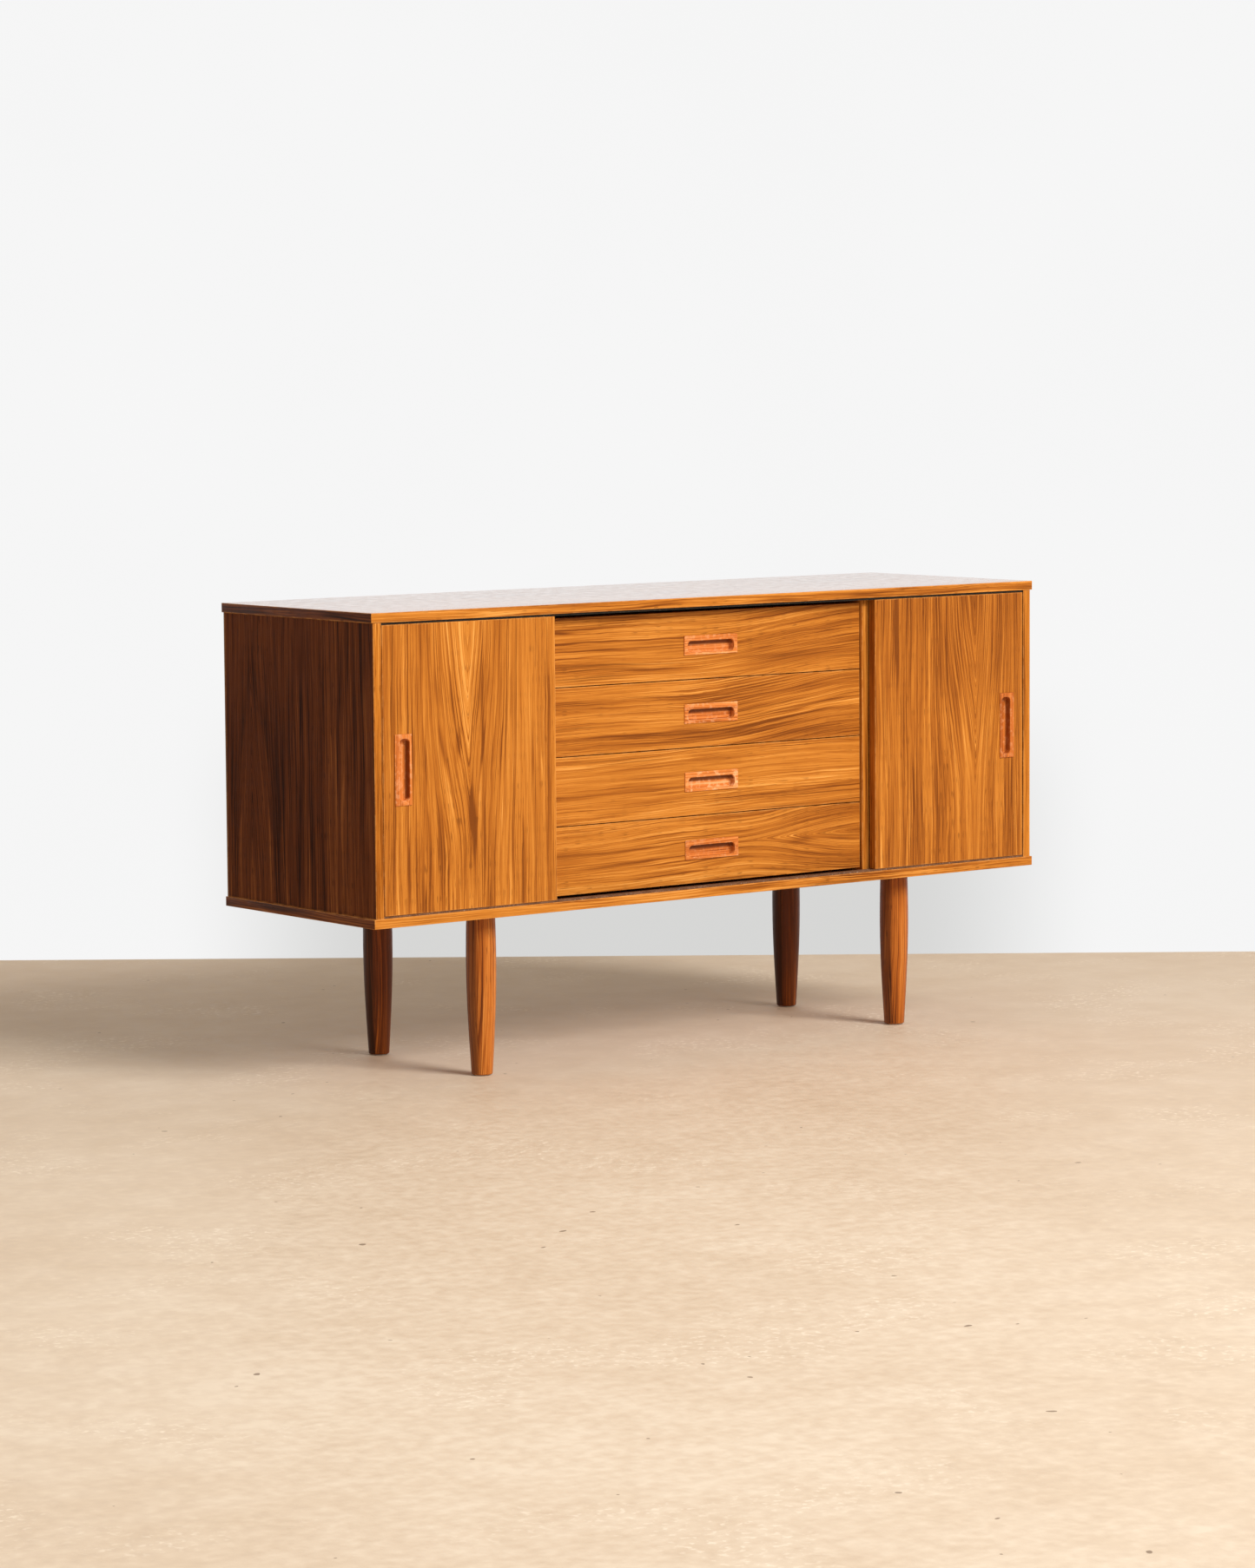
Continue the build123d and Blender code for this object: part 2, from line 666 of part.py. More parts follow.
def make_shelf_pins():
    """Pegs in the bay walls, each with a flat shoulder under the shelf."""
    shoulder_x, shoulder_y, shoulder_z = shelf_pin_shoulder
    with BuildPart() as pins:
        for side in (-1, 1):
            for wall_x, into_bay in ((divider_outer_x, 1), (inside_x, -1)):
                for y in shelf_pin_ys:
                    outward = side * into_bay
                    wall = Plane(origin=(side * wall_x, y, shelf_pin_z), z_dir=(outward, 0, 0))
                    with BuildSketch(wall):
                        Circle(shelf_pin_radius)
                    extrude(amount=-shelf_pin_depth)
                    with Locations((side * wall_x + outward * shoulder_x / 2, y, shelf_pin_z)):
                        Box(shoulder_x, shoulder_y, shoulder_z)
    save(pins, "shelf_pins")


def make_runner_screws():
    """Countersunk wood screws through the runners into the dividers."""
    head_height = (screw_head_radius - screw_radius) / tan(radians(countersink_angle / 2))
    with BuildPart() as screws:
        for side in (-1, 1):
            for x, y, z in runner_screw_places(side):
                start = (x - side * runner_thickness, y, z)
                with Locations(Plane(origin=start, z_dir=(side, 0, 0))):
                    Cylinder(
                        screw_radius,
                        runner_thickness + screw_in_divider,
                        align=(Align.CENTER, Align.CENTER, Align.MIN),
                    )
                    Cone(
                        screw_head_radius,
                        screw_radius,
                        head_height,
                        align=(Align.CENTER, Align.CENTER, Align.MIN),
                    )
    save(screws, "runner_screws")


def make_back_nails():
    """Flat-headed nails of the back panel."""
    with BuildPart() as nails:
        for x in upright_xs:
            for z in nail_zs:
                with Locations(Plane(origin=(x, back_y, z), z_dir=(0, -1, 0))):
                    Cylinder(
                        nail_radius,
                        nail_length,
                        align=(Align.CENTER, Align.CENTER, Align.MIN),
                    )
                    Cylinder(
                        nail_head_radius,
                        nail_head_height,
                        align=(Align.CENTER, Align.CENTER, Align.MIN),
                    )
    save(nails, "back_panel_nails")


# ------------------------------------------------------------ build everything
make_slab("top_panel", ceiling_z, outward=1, stem_depth=upper_stem_depth)
make_slab("bottom_panel", floor_z, outward=-1, stem_depth=lower_stem_depth)
for side in (-1, 1):
    make_upright(
        f"side_panel_{side_name(side)}",
        side * inside_x,
        side,
        side_front_y,
        bay_faces=[(side * inside_x, side)],
    )
    make_upright(
        f"divider_{side_name(side)}",
        side * divider_inner_x,
        side,
        divider_front_y,
        bay_faces=[(side * divider_outer_x, -side)],
    )
    make_shelf(side)
    make_runners(side)
    make_door(side)
    make_door_glides(side)
    make_door_guides(side)
    make_pull(door_pull_plane(side), f"door_pull_{side_name(side)}")
make_back_panel()
make_track("upper_track", ceiling_z, 1, upper_track_drop, upper_channel_sink)
make_track("lower_track", floor_z, -1, lower_track_rise, lower_channel_sink)
for number in range(1, drawer_count + 1):
    make_drawer_front(number)
    make_pull(drawer_pull_plane(number), f"drawer_{number}_pull")
    for side in (-1, 1):
        make_drawer_side(number, side)
    make_drawer_back(number)
    make_drawer_bottom(number)
    make_drawer_dowels(number)
for name, place in leg_places.items():
    make_leg(name, place)
make_leg_bolts()
make_leg_inserts()
make_foot_glides()
make_case_dowels()
make_shelf_pins()
make_runner_screws()
make_back_nails()
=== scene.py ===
# %% [markdown]
# # A sideboard with sliding doors and drawers
# This notebook gives a cabinet its finishes: board covered with teak foil, six hardwood pulls and
# four turned legs. The uprights, doors, drawer boxes and tracks come from the CAD model, stay
# exactly where it put them, and get materials. The two slabs, the pulls and the legs are made
# again in the same places, with rounder edges and finer curves.

# %% Load the cabinet
import math

import bmesh
import bpy
from mathutils import Matrix, Vector


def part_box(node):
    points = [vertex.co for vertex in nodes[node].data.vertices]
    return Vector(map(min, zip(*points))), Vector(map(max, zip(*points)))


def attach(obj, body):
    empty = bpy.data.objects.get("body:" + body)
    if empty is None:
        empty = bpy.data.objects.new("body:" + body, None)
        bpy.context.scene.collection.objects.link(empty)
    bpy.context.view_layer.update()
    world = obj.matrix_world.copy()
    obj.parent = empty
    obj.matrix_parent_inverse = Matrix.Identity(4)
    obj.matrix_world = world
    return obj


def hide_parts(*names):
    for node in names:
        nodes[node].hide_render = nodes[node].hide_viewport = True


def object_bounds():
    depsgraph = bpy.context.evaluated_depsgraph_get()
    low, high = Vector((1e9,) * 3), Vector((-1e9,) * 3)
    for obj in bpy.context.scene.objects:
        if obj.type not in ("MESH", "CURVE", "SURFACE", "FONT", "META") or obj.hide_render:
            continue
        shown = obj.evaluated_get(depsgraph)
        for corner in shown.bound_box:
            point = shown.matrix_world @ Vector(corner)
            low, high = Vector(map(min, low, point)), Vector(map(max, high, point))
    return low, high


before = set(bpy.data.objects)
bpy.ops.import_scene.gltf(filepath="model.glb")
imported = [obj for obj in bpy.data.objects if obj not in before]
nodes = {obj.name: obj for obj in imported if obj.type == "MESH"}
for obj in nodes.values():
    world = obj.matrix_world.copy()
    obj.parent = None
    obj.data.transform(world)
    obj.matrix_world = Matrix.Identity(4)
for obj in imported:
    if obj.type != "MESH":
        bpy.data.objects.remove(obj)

cad_low, cad_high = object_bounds()
print(len(nodes), "parts, box", tuple(round(size, 4) for size in cad_high - cad_low))

# %% [markdown]
# ## The camera
# A long lens far away keeps the upright edges of furniture upright and its proportions honest.
# The camera stands to the left of the cabinet, a little above its top, and looks slightly down.
# Three directions at right angles make its turn: right, up and backwards.

# %% Place the camera
turn_left = math.radians(37.856)
look_down = math.radians(5.342)
lean = math.radians(-0.408)
CAMERA_PLACE = Vector((-5.0626, -6.4745, 1.2170))
LENS_MM = 108.8
SENSOR_MM = 36

looking = Vector((
    math.sin(turn_left) * math.cos(look_down),
    math.cos(turn_left) * math.cos(look_down),
    -math.sin(look_down),
))
level_right = Vector((math.cos(turn_left), -math.sin(turn_left), 0))
level_up = level_right.cross(looking)
camera_right = math.cos(lean) * level_right + math.sin(lean) * level_up
camera_up = math.cos(lean) * level_up - math.sin(lean) * level_right

lens = bpy.data.cameras.new("long_lens")
lens.lens = LENS_MM
lens.sensor_width = SENSOR_MM
camera = bpy.data.objects.new("camera", lens)
camera.matrix_world = (
    Matrix.Translation(CAMERA_PLACE)
    @ Matrix((camera_right, camera_up, -looking)).transposed().to_4x4()
)
bpy.context.scene.collection.objects.link(camera)
bpy.context.scene.camera = camera
bpy.context.scene.view_settings.view_transform = "Standard"
camera_distance = (CAMERA_PLACE - (cad_low + cad_high) / 2).length
print("camera", round(camera_distance, 2), "m from the middle of the cabinet")

# %% [markdown]
# ## Small tools for materials
# A procedural material is a graph: coordinates go in, patterns are worked out from them, and a
# colour, a gloss and a height come out. These helpers add one node each and return its output,
# so that a recipe reads like a sum. `feed` links an output, or writes down a plain value. Every
# finish ends in the same three things, so `new_finish` and `finish_surface` start and close it.

# %% One node each
def feed(tree, value, socket):
    if isinstance(value, bpy.types.NodeSocket):
        tree.links.new(value, socket)
    else:
        socket.default_value = value


def add_node(tree, kind, values=(), **settings):
    node = tree.nodes.new("ShaderNode" + kind)
    for name, setting in settings.items():
        setattr(node, name, setting)
    for key, value in dict(values).items():
        feed(tree, value, node.inputs[key])
    return node


def calc(tree, operation, *values):
    return add_node(tree, "Math", enumerate(values), operation=operation).outputs[0]


def calc_vector(tree, operation, *values):
    return add_node(tree, "VectorMath", enumerate(values), operation=operation).outputs[0]


def vector(tree, x, y, z):
    return add_node(tree, "CombineXYZ", enumerate((x, y, z))).outputs[0]


def parts_of(tree, value):
    return add_node(tree, "SeparateXYZ", [(0, value)]).outputs


def share_of(tree, value, direction):
    """How far value reaches along a direction of length one."""
    node = add_node(tree, "VectorMath", [(0, value), (1, direction)], operation="DOT_PRODUCT")
    return node.outputs["Value"]


def noise(tree, place, scale=1, detail=2):
    values = {"Vector": place, "Scale": scale, "Detail": detail}
    return add_node(tree, "TexNoise", values).outputs["Fac"]


def fade(tree, value, start, end, low=0, high=1):
    """Goes smoothly from low to high as value goes from start to end."""
    values = enumerate((value, start, end, low, high))
    return add_node(tree, "MapRange", values, interpolation_type="SMOOTHSTEP").outputs[0]


def mix(tree, share, first, second):
    values = [(0, share), (6, first), (7, second)]
    return add_node(tree, "Mix", values, data_type="RGBA").outputs[2]


def ramp(tree, value, stops):
    node = add_node(tree, "ValToRGB", [(0, value)])
    points = node.color_ramp.elements
    while len(points) < len(stops):
        points.new(1)
    for point, (place, colour) in zip(points, stops):
        point.position = place
        point.color = (*colour, 1)
    return node.outputs[0]


# %% Open and close a finish
def new_finish(name, **constants):
    """A material, its node tree, its shader and the Object coordinates."""
    finish = bpy.data.materials.new(name)
    finish.use_nodes = True
    tree = finish.node_tree
    shader = tree.nodes["Principled BSDF"]
    for socket, value in constants.items():
        shader.inputs[socket.replace("_", " ")].default_value = value
    place = add_node(tree, "TexCoord").outputs["Object"]
    return finish, tree, shader, place


def finish_surface(tree, shader, colour, gloss, height, relief):
    """Colour, roughness and a bump whose full height is relief, in metres."""
    feed(tree, colour, shader.inputs["Base Color"])
    feed(tree, gloss, shader.inputs["Roughness"])
    bump = add_node(tree, "Bump", {"Height": height, "Distance": relief, "Strength": 1.0})
    feed(tree, bump.outputs[0], shader.inputs["Normal"])


# %% [markdown]
# ## Floor, wall and light
# Furniture is judged against something plain, so a pale worn screed floor meets a white wall
# behind the cabinet. Screed is cloudy on a large scale and mottled on a small one, with whitish
# scuffs and a few dark specks, and a noise's scale says about how many spots it has in a metre.
# The wall gives its own even light, because a lit one would shade off towards its edges. It is
# see-through from its back, so that the cabinet can be looked at from behind as well, and it
# neither lights nor shades the rest.

# %% Lay out floor and wall
def flat_sheet(name, corners):
    mesh = bmesh.new()
    mesh.faces.new([mesh.verts.new(corner) for corner in corners])
    data = bpy.data.meshes.new(name)
    mesh.to_mesh(data)
    mesh.free()
    thing = bpy.data.objects.new(name, data)
    bpy.context.scene.collection.objects.link(thing)
    return thing


FLOOR_REACH = 12
WALL_DISTANCE = 1.127
WALL_REACH = 9.0
WALL_HEIGHT = 6
away = Vector((math.sin(turn_left), math.cos(turn_left), 0))
wall_foot = away * WALL_DISTANCE
sideways = level_right * WALL_REACH
wall_top = Vector((0, 0, WALL_HEIGHT))

floor = flat_sheet("floor", [
    (-FLOOR_REACH, -FLOOR_REACH, 0),
    (FLOOR_REACH, -FLOOR_REACH, 0),
    (FLOOR_REACH, FLOOR_REACH, 0),
    (-FLOOR_REACH, FLOOR_REACH, 0),
])
wall = flat_sheet("wall", [
    wall_foot - sideways,
    wall_foot + sideways,
    wall_foot + sideways + wall_top,
    wall_foot - sideways + wall_top,
])
print("floor", 2 * FLOOR_REACH, "m wide, wall", WALL_DISTANCE, "m behind the middle of the cabinet")


# %% Worn screed for the floor
def weighted(tree, *pairs):
    """The sum of values, each times its own weight."""
    total = 0.0
    for value, weight in pairs:
        total = calc(tree, "MULTIPLY_ADD", value, weight, total)
    return total


SCREED = [
    (0.38, (0.606, 0.487, 0.364)),
    (0.47, (0.650, 0.534, 0.410)),
    (0.54, (0.684, 0.573, 0.450)),
    (0.64, (0.735, 0.636, 0.516)),
]
SCREED_PAINTED_SHADE = (0.44, 0.33, 0.235, 1)
SCUFF = (0.90, 0.82, 0.70, 1)
SPECK = (0.16, 0.10, 0.06, 1)
SCREED_RELIEF = 0.0006

finish, tree, shader, place = new_finish("worn_screed", Specular_IOR_Level=0.25)
cloudy = noise(tree, place, 1.3, 5)
mottled = noise(tree, place, 48, 8)
trowelled = noise(tree, place, 11, 6)
tone = weighted(tree, (cloudy, 0.36), (mottled, 0.40), (trowelled, 0.28))
colour = ramp(tree, tone, SCREED)
towards_wall = share_of(tree, place, away)
# Painted shade: the floor is darker towards the wall behind the cabinet.
colour = mix(tree, fade(tree, towards_wall, -2.2, 0.9, 0, 0.30), colour, SCREED_PAINTED_SHADE)
scuffs = calc(
    tree, "MULTIPLY",
    fade(tree, noise(tree, place, 95, 5), 0.53, 0.68),
    fade(tree, noise(tree, place, 3.2, 3), 0.50, 0.66, 0, 0.50),
)
colour = mix(tree, scuffs, colour, SCUFF)
dirt = fade(tree, noise(tree, place, 34, 1), 0.785, 0.80, 0, 0.75)
colour = mix(tree, dirt, colour, SPECK)
roughness = fade(tree, mottled, 0.3, 0.7, 0.5, 0.72)
finish_surface(tree, shader, colour, roughness, mottled, SCREED_RELIEF)
floor.data.materials.append(finish)
print(finish.name, len(tree.nodes), "nodes")

# %% Paint for the wall
WALL_WHITES = [(0.3, (0.915, 0.915, 0.915)), (0.7, (0.925, 0.925, 0.925))]
WALL_SHADE = (0.65, 0.65, 0.64, 1)

finish, tree, shader, place = new_finish("wall_paint", Roughness=0.9, Emission_Strength=1.0)
shader.inputs["Base Color"].default_value = (0, 0, 0, 1)
shader.inputs["Specular IOR Level"].default_value = 0
glow = ramp(tree, noise(tree, place, 1.5, 3), WALL_WHITES)
# Painted shadow of the cabinet: the wall's glow is darker low down behind it.
aside = calc(tree, "ABSOLUTE", share_of(tree, place, level_right))
painted_cabinet_shadow = calc(
    tree, "MULTIPLY",
    fade(tree, aside, 0.95, 0.50),
    fade(tree, parts_of(tree, place)[2], 0.60, 0.25, 0, 0.90),
)
glow = mix(tree, painted_cabinet_shadow, glow, WALL_SHADE)
feed(tree, glow, shader.inputs["Emission Color"])
behind = add_node(tree, "NewGeometry").outputs["Backfacing"]
two_sided = add_node(tree, "MixShader", [
    (0, behind),
    (1, shader.outputs[0]),
    (2, add_node(tree, "BsdfTransparent").outputs[0]),
])
feed(tree, two_sided.outputs[0], tree.nodes["Material Output"].inputs["Surface"])
wall.data.materials.append(finish)
wall.visible_diffuse = False
wall.visible_shadow = False
print(finish.name, len(tree.nodes), "nodes")

# %% [markdown]
# ## Light
# One large soft light stands to the right in front and high up, as a tall window would, and leaves
# the left end of the case in shade. A weaker one over the foreground brightens the floor there,
# and a warm, dim surrounding fills the shadows. Seen from behind, the window's mirror image would
# lie on the polished top as a white sheet, so both lamps are left out of reflections.

# %% Two lamps and a dim room
def soft_light(name, place, target, width, height, watts, colour=(1, 1, 1)):
    lamp = bpy.data.lights.new(name, "AREA")
    lamp.shape = "RECTANGLE"
    lamp.size = width
    lamp.size_y = height
    lamp.energy = watts
    lamp.color = colour
    thing = bpy.data.objects.new(name, lamp)
    thing.location = place
    aim = Vector(target) - Vector(place)
    thing.rotation_mode = "QUATERNION"
    thing.rotation_quaternion = aim.to_track_quat("-Z", "Y")
    thing.visible_glossy = False
    bpy.context.scene.collection.objects.link(thing)
    print(name, watts, "W")


middle = (cad_low + cad_high) / 2
towards_window = Vector((0.207, -0.832, 0.515))
WINDOW_DISTANCE = 18
WINDOW_WIDTH = 7.0
WINDOW_HEIGHT = 5.6
WINDOW_WATTS = 2880
DAYLIGHT = (1, 0.975, 0.94)
CEILING_PLACE = (0.8, -4.6, 4.4)
CEILING_TARGET = (0.2, -3.4, 0)
CEILING_SIZE = 3.0
CEILING_WATTS = 125
ROOM_COLOUR = (1.0, 0.83, 0.64, 1)
ROOM_STRENGTH = 0.50
soft_light(
    "window", middle + WINDOW_DISTANCE * towards_window, middle, WINDOW_WIDTH, WINDOW_HEIGHT,
    WINDOW_WATTS, DAYLIGHT,
)
soft_light("ceiling", CEILING_PLACE, CEILING_TARGET, CEILING_SIZE, CEILING_SIZE, CEILING_WATTS)

world = bpy.data.worlds.new("room")
world.use_nodes = True
background = world.node_tree.nodes["Background"]
background.inputs["Color"].default_value = ROOM_COLOUR
background.inputs["Strength"].default_value = ROOM_STRENGTH
bpy.context.scene.world = world
print(world.name, "light at strength", ROOM_STRENGTH)

# %% [markdown]
# ## How the grain of a board is drawn
# Printed teak foil copies sawn wood: level curves of a field, packed into bands, thin lines and
# pores. The field is simply the distance across the board. It is bent by slow noises, which are
# stretched along the grain, so that no line is straight. Where a saw cuts through the cone-shaped
# growth rings, the lines meet in nested points. That figure is the distance from a heart line
# plus a hump that grows away from one place on it: their sum is the same on two lines that close
# to a long point, or round an eye. Away from the heart the hump fades out, and the lines run
# straight. A rise lifts all lines between two places.

# %% Tools for a shared pattern
def new_group(name, inputs, outputs):
    tree = bpy.data.node_groups.new(name, "ShaderNodeTree")
    for label, value in inputs.items():
        socket = tree.interface.new_socket(label, in_out="INPUT", socket_type="NodeSocketFloat")
        socket.default_value = value
    for label, kind in outputs.items():
        tree.interface.new_socket(label, in_out="OUTPUT", socket_type="NodeSocket" + kind)
    given = tree.nodes.new("NodeGroupInput").outputs
    made = tree.nodes.new("NodeGroupOutput").inputs
    return tree, given, made


def use_group(tree, group, **values):
    node = add_node(tree, "Group", node_tree=group)
    for name, value in values.items():
        feed(tree, value, node.inputs[name.replace("_", " ")])
    return node.outputs


def stripes(tree, across, along, seed, per_metre_across, per_metre_along, detail=1):
    """Noise stretched along the grain: streaks as wide as one over per_metre_across."""
    place = vector(
        tree,
        calc(tree, "MULTIPLY", across, per_metre_across),
        calc(tree, "MULTIPLY", along, per_metre_along),
        seed,
    )
    return calc(tree, "SUBTRACT", noise(tree, place, 1, detail), 0.5)


# %% Bend the grain
LINE_TIP_RADIUS = 0.0015
FIGURE_HALF_WIDTH = 0.12
SLANT = 0.22

bend, given, made = new_group(
    "bent_grain",
    {"Across": 0, "Along": 0, "Seed": 0, "Heart": 9, "Hump Middle": 0, "Hump Reach": 1, "Hump": 0,
     "Rise Start": 0, "Rise End": 1, "Rise": 0},
    {"Field": "Float"},
)
slow = stripes(bend, given["Across"], given["Along"], given["Seed"], 9, 2.0)
middling = stripes(bend, given["Across"], given["Along"], given["Seed"], 30, 7.0)
quick = stripes(bend, given["Across"], given["Along"], given["Seed"], 110, 26)
wander = weighted(bend, (slow, 0.016), (middling, 0.0052), (quick, 0.0020))
rise = fade(bend, given["Along"], given["Rise Start"], given["Rise End"], 0, given["Rise"])
bent = calc(bend, "SUBTRACT", calc(bend, "ADD", given["Across"], wander), rise)
from_heart = calc(bend, "SUBTRACT", bent, given["Heart"])
from_middle = calc(bend, "ABSOLUTE", calc(bend, "SUBTRACT", given["Along"], given["Hump Middle"]))
hump = fade(bend, from_middle, 0, given["Hump Reach"], 0, given["Hump"])
squared = calc(bend, "MULTIPLY_ADD", from_heart, from_heart, LINE_TIP_RADIUS * LINE_TIP_RADIUS)
rings = calc(bend, "SQRT", squared)
hump = calc(bend, "MULTIPLY", hump, fade(bend, rings, FIGURE_HALF_WIDTH, 0))
feed(bend, weighted(bend, (rings, 1.0), (hump, 1.0), (from_heart, SLANT)), made["Field"])
print(bend.name, len(bend.nodes), "nodes")

# %% [markdown]
# ## From the field to bands, lines and pores
# Stretched noises of several widths are added up: broad bands, streaks a few millimetres wide and
# short fibres. Hairlines are the places where a stretched noise passes through its middle value,
# some dark and some pale, and they fade in and out in patches. Pores are short dark dashes that
# lie a little deeper than the rest. Seed gives each board its own draw of all of them.

# %% The pattern shared by all the foil
pattern_group, given, made = new_group(
    "wood_pattern",
    {"Field": 0, "Along": 0, "Seed": 0, "Tone": 0, "Fineness": 1},
    {"Shade": "Float", "Streaks": "Float", "Pores": "Float", "Height": "Float"},
)
field = calc(pattern_group, "MULTIPLY", given["Field"], given["Fineness"])
along, seed = given["Along"], given["Seed"]


def layer(number, per_metre_across, per_metre_along, detail=1):
    shifted = calc(pattern_group, "ADD", seed, number)
    return stripes(pattern_group, field, along, shifted, per_metre_across, per_metre_along, detail)


def thin_lines(number, per_metre_across, per_metre_along, half_width, patches):
    """The level curves of one layer as hairlines, which fade in and out in patches."""
    distance = calc(pattern_group, "ABSOLUTE", layer(number, per_metre_across, per_metre_along))
    line = fade(pattern_group, distance, 0, half_width, 1, 0)
    where = fade(pattern_group, layer(number + 1, patches, 2.2), -0.08, 0.10)
    return calc(pattern_group, "MULTIPLY", line, where)


fibres = layer(9, 1300, 12)
shade = weighted(
    pattern_group,
    (layer(3, 26, 0.7), 0.50),
    (layer(5, 120, 1.5, 2), 0.60),
    (layer(7, 480, 4.2), 0.66),
    (fibres, 0.60),
    (layer(11, 5, 3), 0.25),
    (thin_lines(21, 75, 0.9, 0.032, 14), -0.36),
    (thin_lines(31, 200, 1.5, 0.055, 25), -0.26),
    (thin_lines(41, 120, 1.1, 0.036, 18), 0.30),
    (given["Tone"], 1.0),
)
feed(pattern_group, calc(pattern_group, "ADD", shade, 0.5), made["Shade"])
streaks = calc(
    pattern_group, "MULTIPLY",
    fade(pattern_group, layer(13, 210, 2.4, 2), 0.10, 0.20),
    fade(pattern_group, layer(15, 18, 1.1), -0.02, 0.08),
)
feed(pattern_group, streaks, made["Streaks"])
pores = calc(
    pattern_group, "MULTIPLY",
    fade(pattern_group, layer(17, 800, 40, 0), 0.15, 0.24),
    fade(pattern_group, layer(19, 14, 2.0), -0.08, 0.10, 0.35, 1.0),
)
feed(pattern_group, pores, made["Pores"])
height = calc(pattern_group, "MULTIPLY_ADD", fibres, 0.4, 0.5)
height = calc(pattern_group, "SUBTRACT", height, calc(pattern_group, "MULTIPLY", pores, 0.5))
feed(pattern_group, height, made["Height"])
print(pattern_group.name, len(pattern_group.nodes), "nodes")

# %% [markdown]
# ## From a board's place to its grain
# One pattern serves boards that lie, stand and hang, because each board says which of X, Y and Z
# runs along its grain, across its face and through its thickness. On the narrow faces the
# pattern turns with the surface normal, as edging does. Edges lighten where they are rubbed: the
# second smallest of a point's three distances to the sides of the board tells how near an edge is.

# %% Board coordinates
AXES = {"X": 0, "Y": 1, "Z": 2}
FACING_ALONG = 0.6


def grain_place(tree, place, along, wide, thin):
    """Where a point lies across the lines and along them, on whichever face it is."""
    here = parts_of(tree, place)
    normal = add_node(tree, "NewGeometry").outputs["True Normal"]
    facing = parts_of(tree, calc_vector(tree, "ABSOLUTE", normal))
    flat = calc(tree, "GREATER_THAN", facing[AXES[thin]], FACING_ALONG)
    end = calc(tree, "GREATER_THAN", facing[AXES[along]], FACING_ALONG)
    across = add_node(tree, "Mix", [(0, flat), (2, here[AXES[thin]]), (3, here[AXES[wide]])])
    running = add_node(tree, "Mix", [(0, end), (2, here[AXES[along]]), (3, here[AXES[wide]])])
    return across.outputs[0], running.outputs[0]


def edge_nearness(tree, place, low, high, reach):
    """1 on the edges of the box from low to high, 0 further than reach from them."""
    centre = (low + high) / 2
    half = (high - low) / 2
    away_from_centre = calc_vector(tree, "ABSOLUTE", calc_vector(tree, "SUBTRACT", place, centre))
    inset = parts_of(tree, calc_vector(tree, "SUBTRACT", half, away_from_centre))
    smaller = calc(tree, "MINIMUM", inset[0], inset[1])
    larger = calc(tree, "MAXIMUM", inset[0], inset[1])
    second = calc(tree, "MAXIMUM", smaller, calc(tree, "MINIMUM", larger, inset[2]))
    return fade(tree, second, reach, 0)


def mark(tree, across, along, centre, spread, amount):
    """A soft spot, amount strong at its centre, that fades over its spread."""
    terms = []
    for value, middle_value, width in zip((across, along), centre, spread):
        far = calc(tree, "DIVIDE", calc(tree, "SUBTRACT", value, middle_value), width)
        terms.append(calc(tree, "MULTIPLY", far, far))
    gauss = calc(tree, "EXPONENT", calc(tree, "MULTIPLY", calc(tree, "ADD", *terms), -1.0))
    return calc(tree, "MULTIPLY", gauss, amount)


# %% [markdown]
# ## The woods' colours
# A ramp turns the pattern's single value into a wood's own colours, from its darkest line to its
# palest. Teak foil is golden, the pulls are redder, the legs are stained darker and beech is pale.
# The left end of the case stands in shade, and that shade is painted into a dark set of colours
# for the same foil.

# %% Wood colours, from dark to pale
TEAK = [
    (0.12, (0.180, 0.048, 0.006)),
    (0.34, (0.350, 0.106, 0.012)),
    (0.50, (0.465, 0.160, 0.020)),
    (0.66, (0.555, 0.208, 0.031)),
    (0.90, (0.690, 0.310, 0.070)),
]
SHADED_TEAK = [
    (0.12, (0.026, 0.0060, 0.0012)),
    (0.34, (0.074, 0.0180, 0.0038)),
    (0.50, (0.120, 0.0310, 0.0066)),
    (0.66, (0.172, 0.0500, 0.0112)),
    (0.90, (0.270, 0.0930, 0.0225)),
]
PULL_WOOD = [
    (0.12, (0.300, 0.070, 0.011)),
    (0.34, (0.500, 0.135, 0.024)),
    (0.50, (0.610, 0.185, 0.036)),
    (0.66, (0.700, 0.255, 0.070)),
    (0.90, (0.800, 0.410, 0.180)),
]
LEG_WOOD = [
    (0.12, (0.110, 0.023, 0.003)),
    (0.34, (0.245, 0.058, 0.007)),
    (0.50, (0.370, 0.096, 0.011)),
    (0.66, (0.480, 0.142, 0.019)),
    (0.90, (0.620, 0.230, 0.045)),
]
BEECH = [
    (0.12, (0.420, 0.235, 0.110)),
    (0.34, (0.530, 0.330, 0.170)),
    (0.50, (0.600, 0.400, 0.225)),
    (0.66, (0.650, 0.455, 0.270)),
    (0.90, (0.720, 0.540, 0.350)),
]
WORN_EDGE = (0.72, 0.36, 0.12, 1)
BARE_WOOD = (0.84, 0.46, 0.24, 1)
STREAK_DEPTH = 0.7


def wood_colour(tree, pattern, colours, streak_strength=0.6, pore_strength=0.5):
    """The pattern in a wood's own colours, with its dark streaks and pores."""
    colour = ramp(tree, pattern["Shade"], colours)
    darkest = (*(STREAK_DEPTH * channel for channel in colours[0][1]), 1)
    colour = mix(tree, calc(tree, "MULTIPLY", pattern["Streaks"], streak_strength), colour, darkest)
    return mix(tree, calc(tree, "MULTIPLY", pattern["Pores"], pore_strength), colour, darkest)
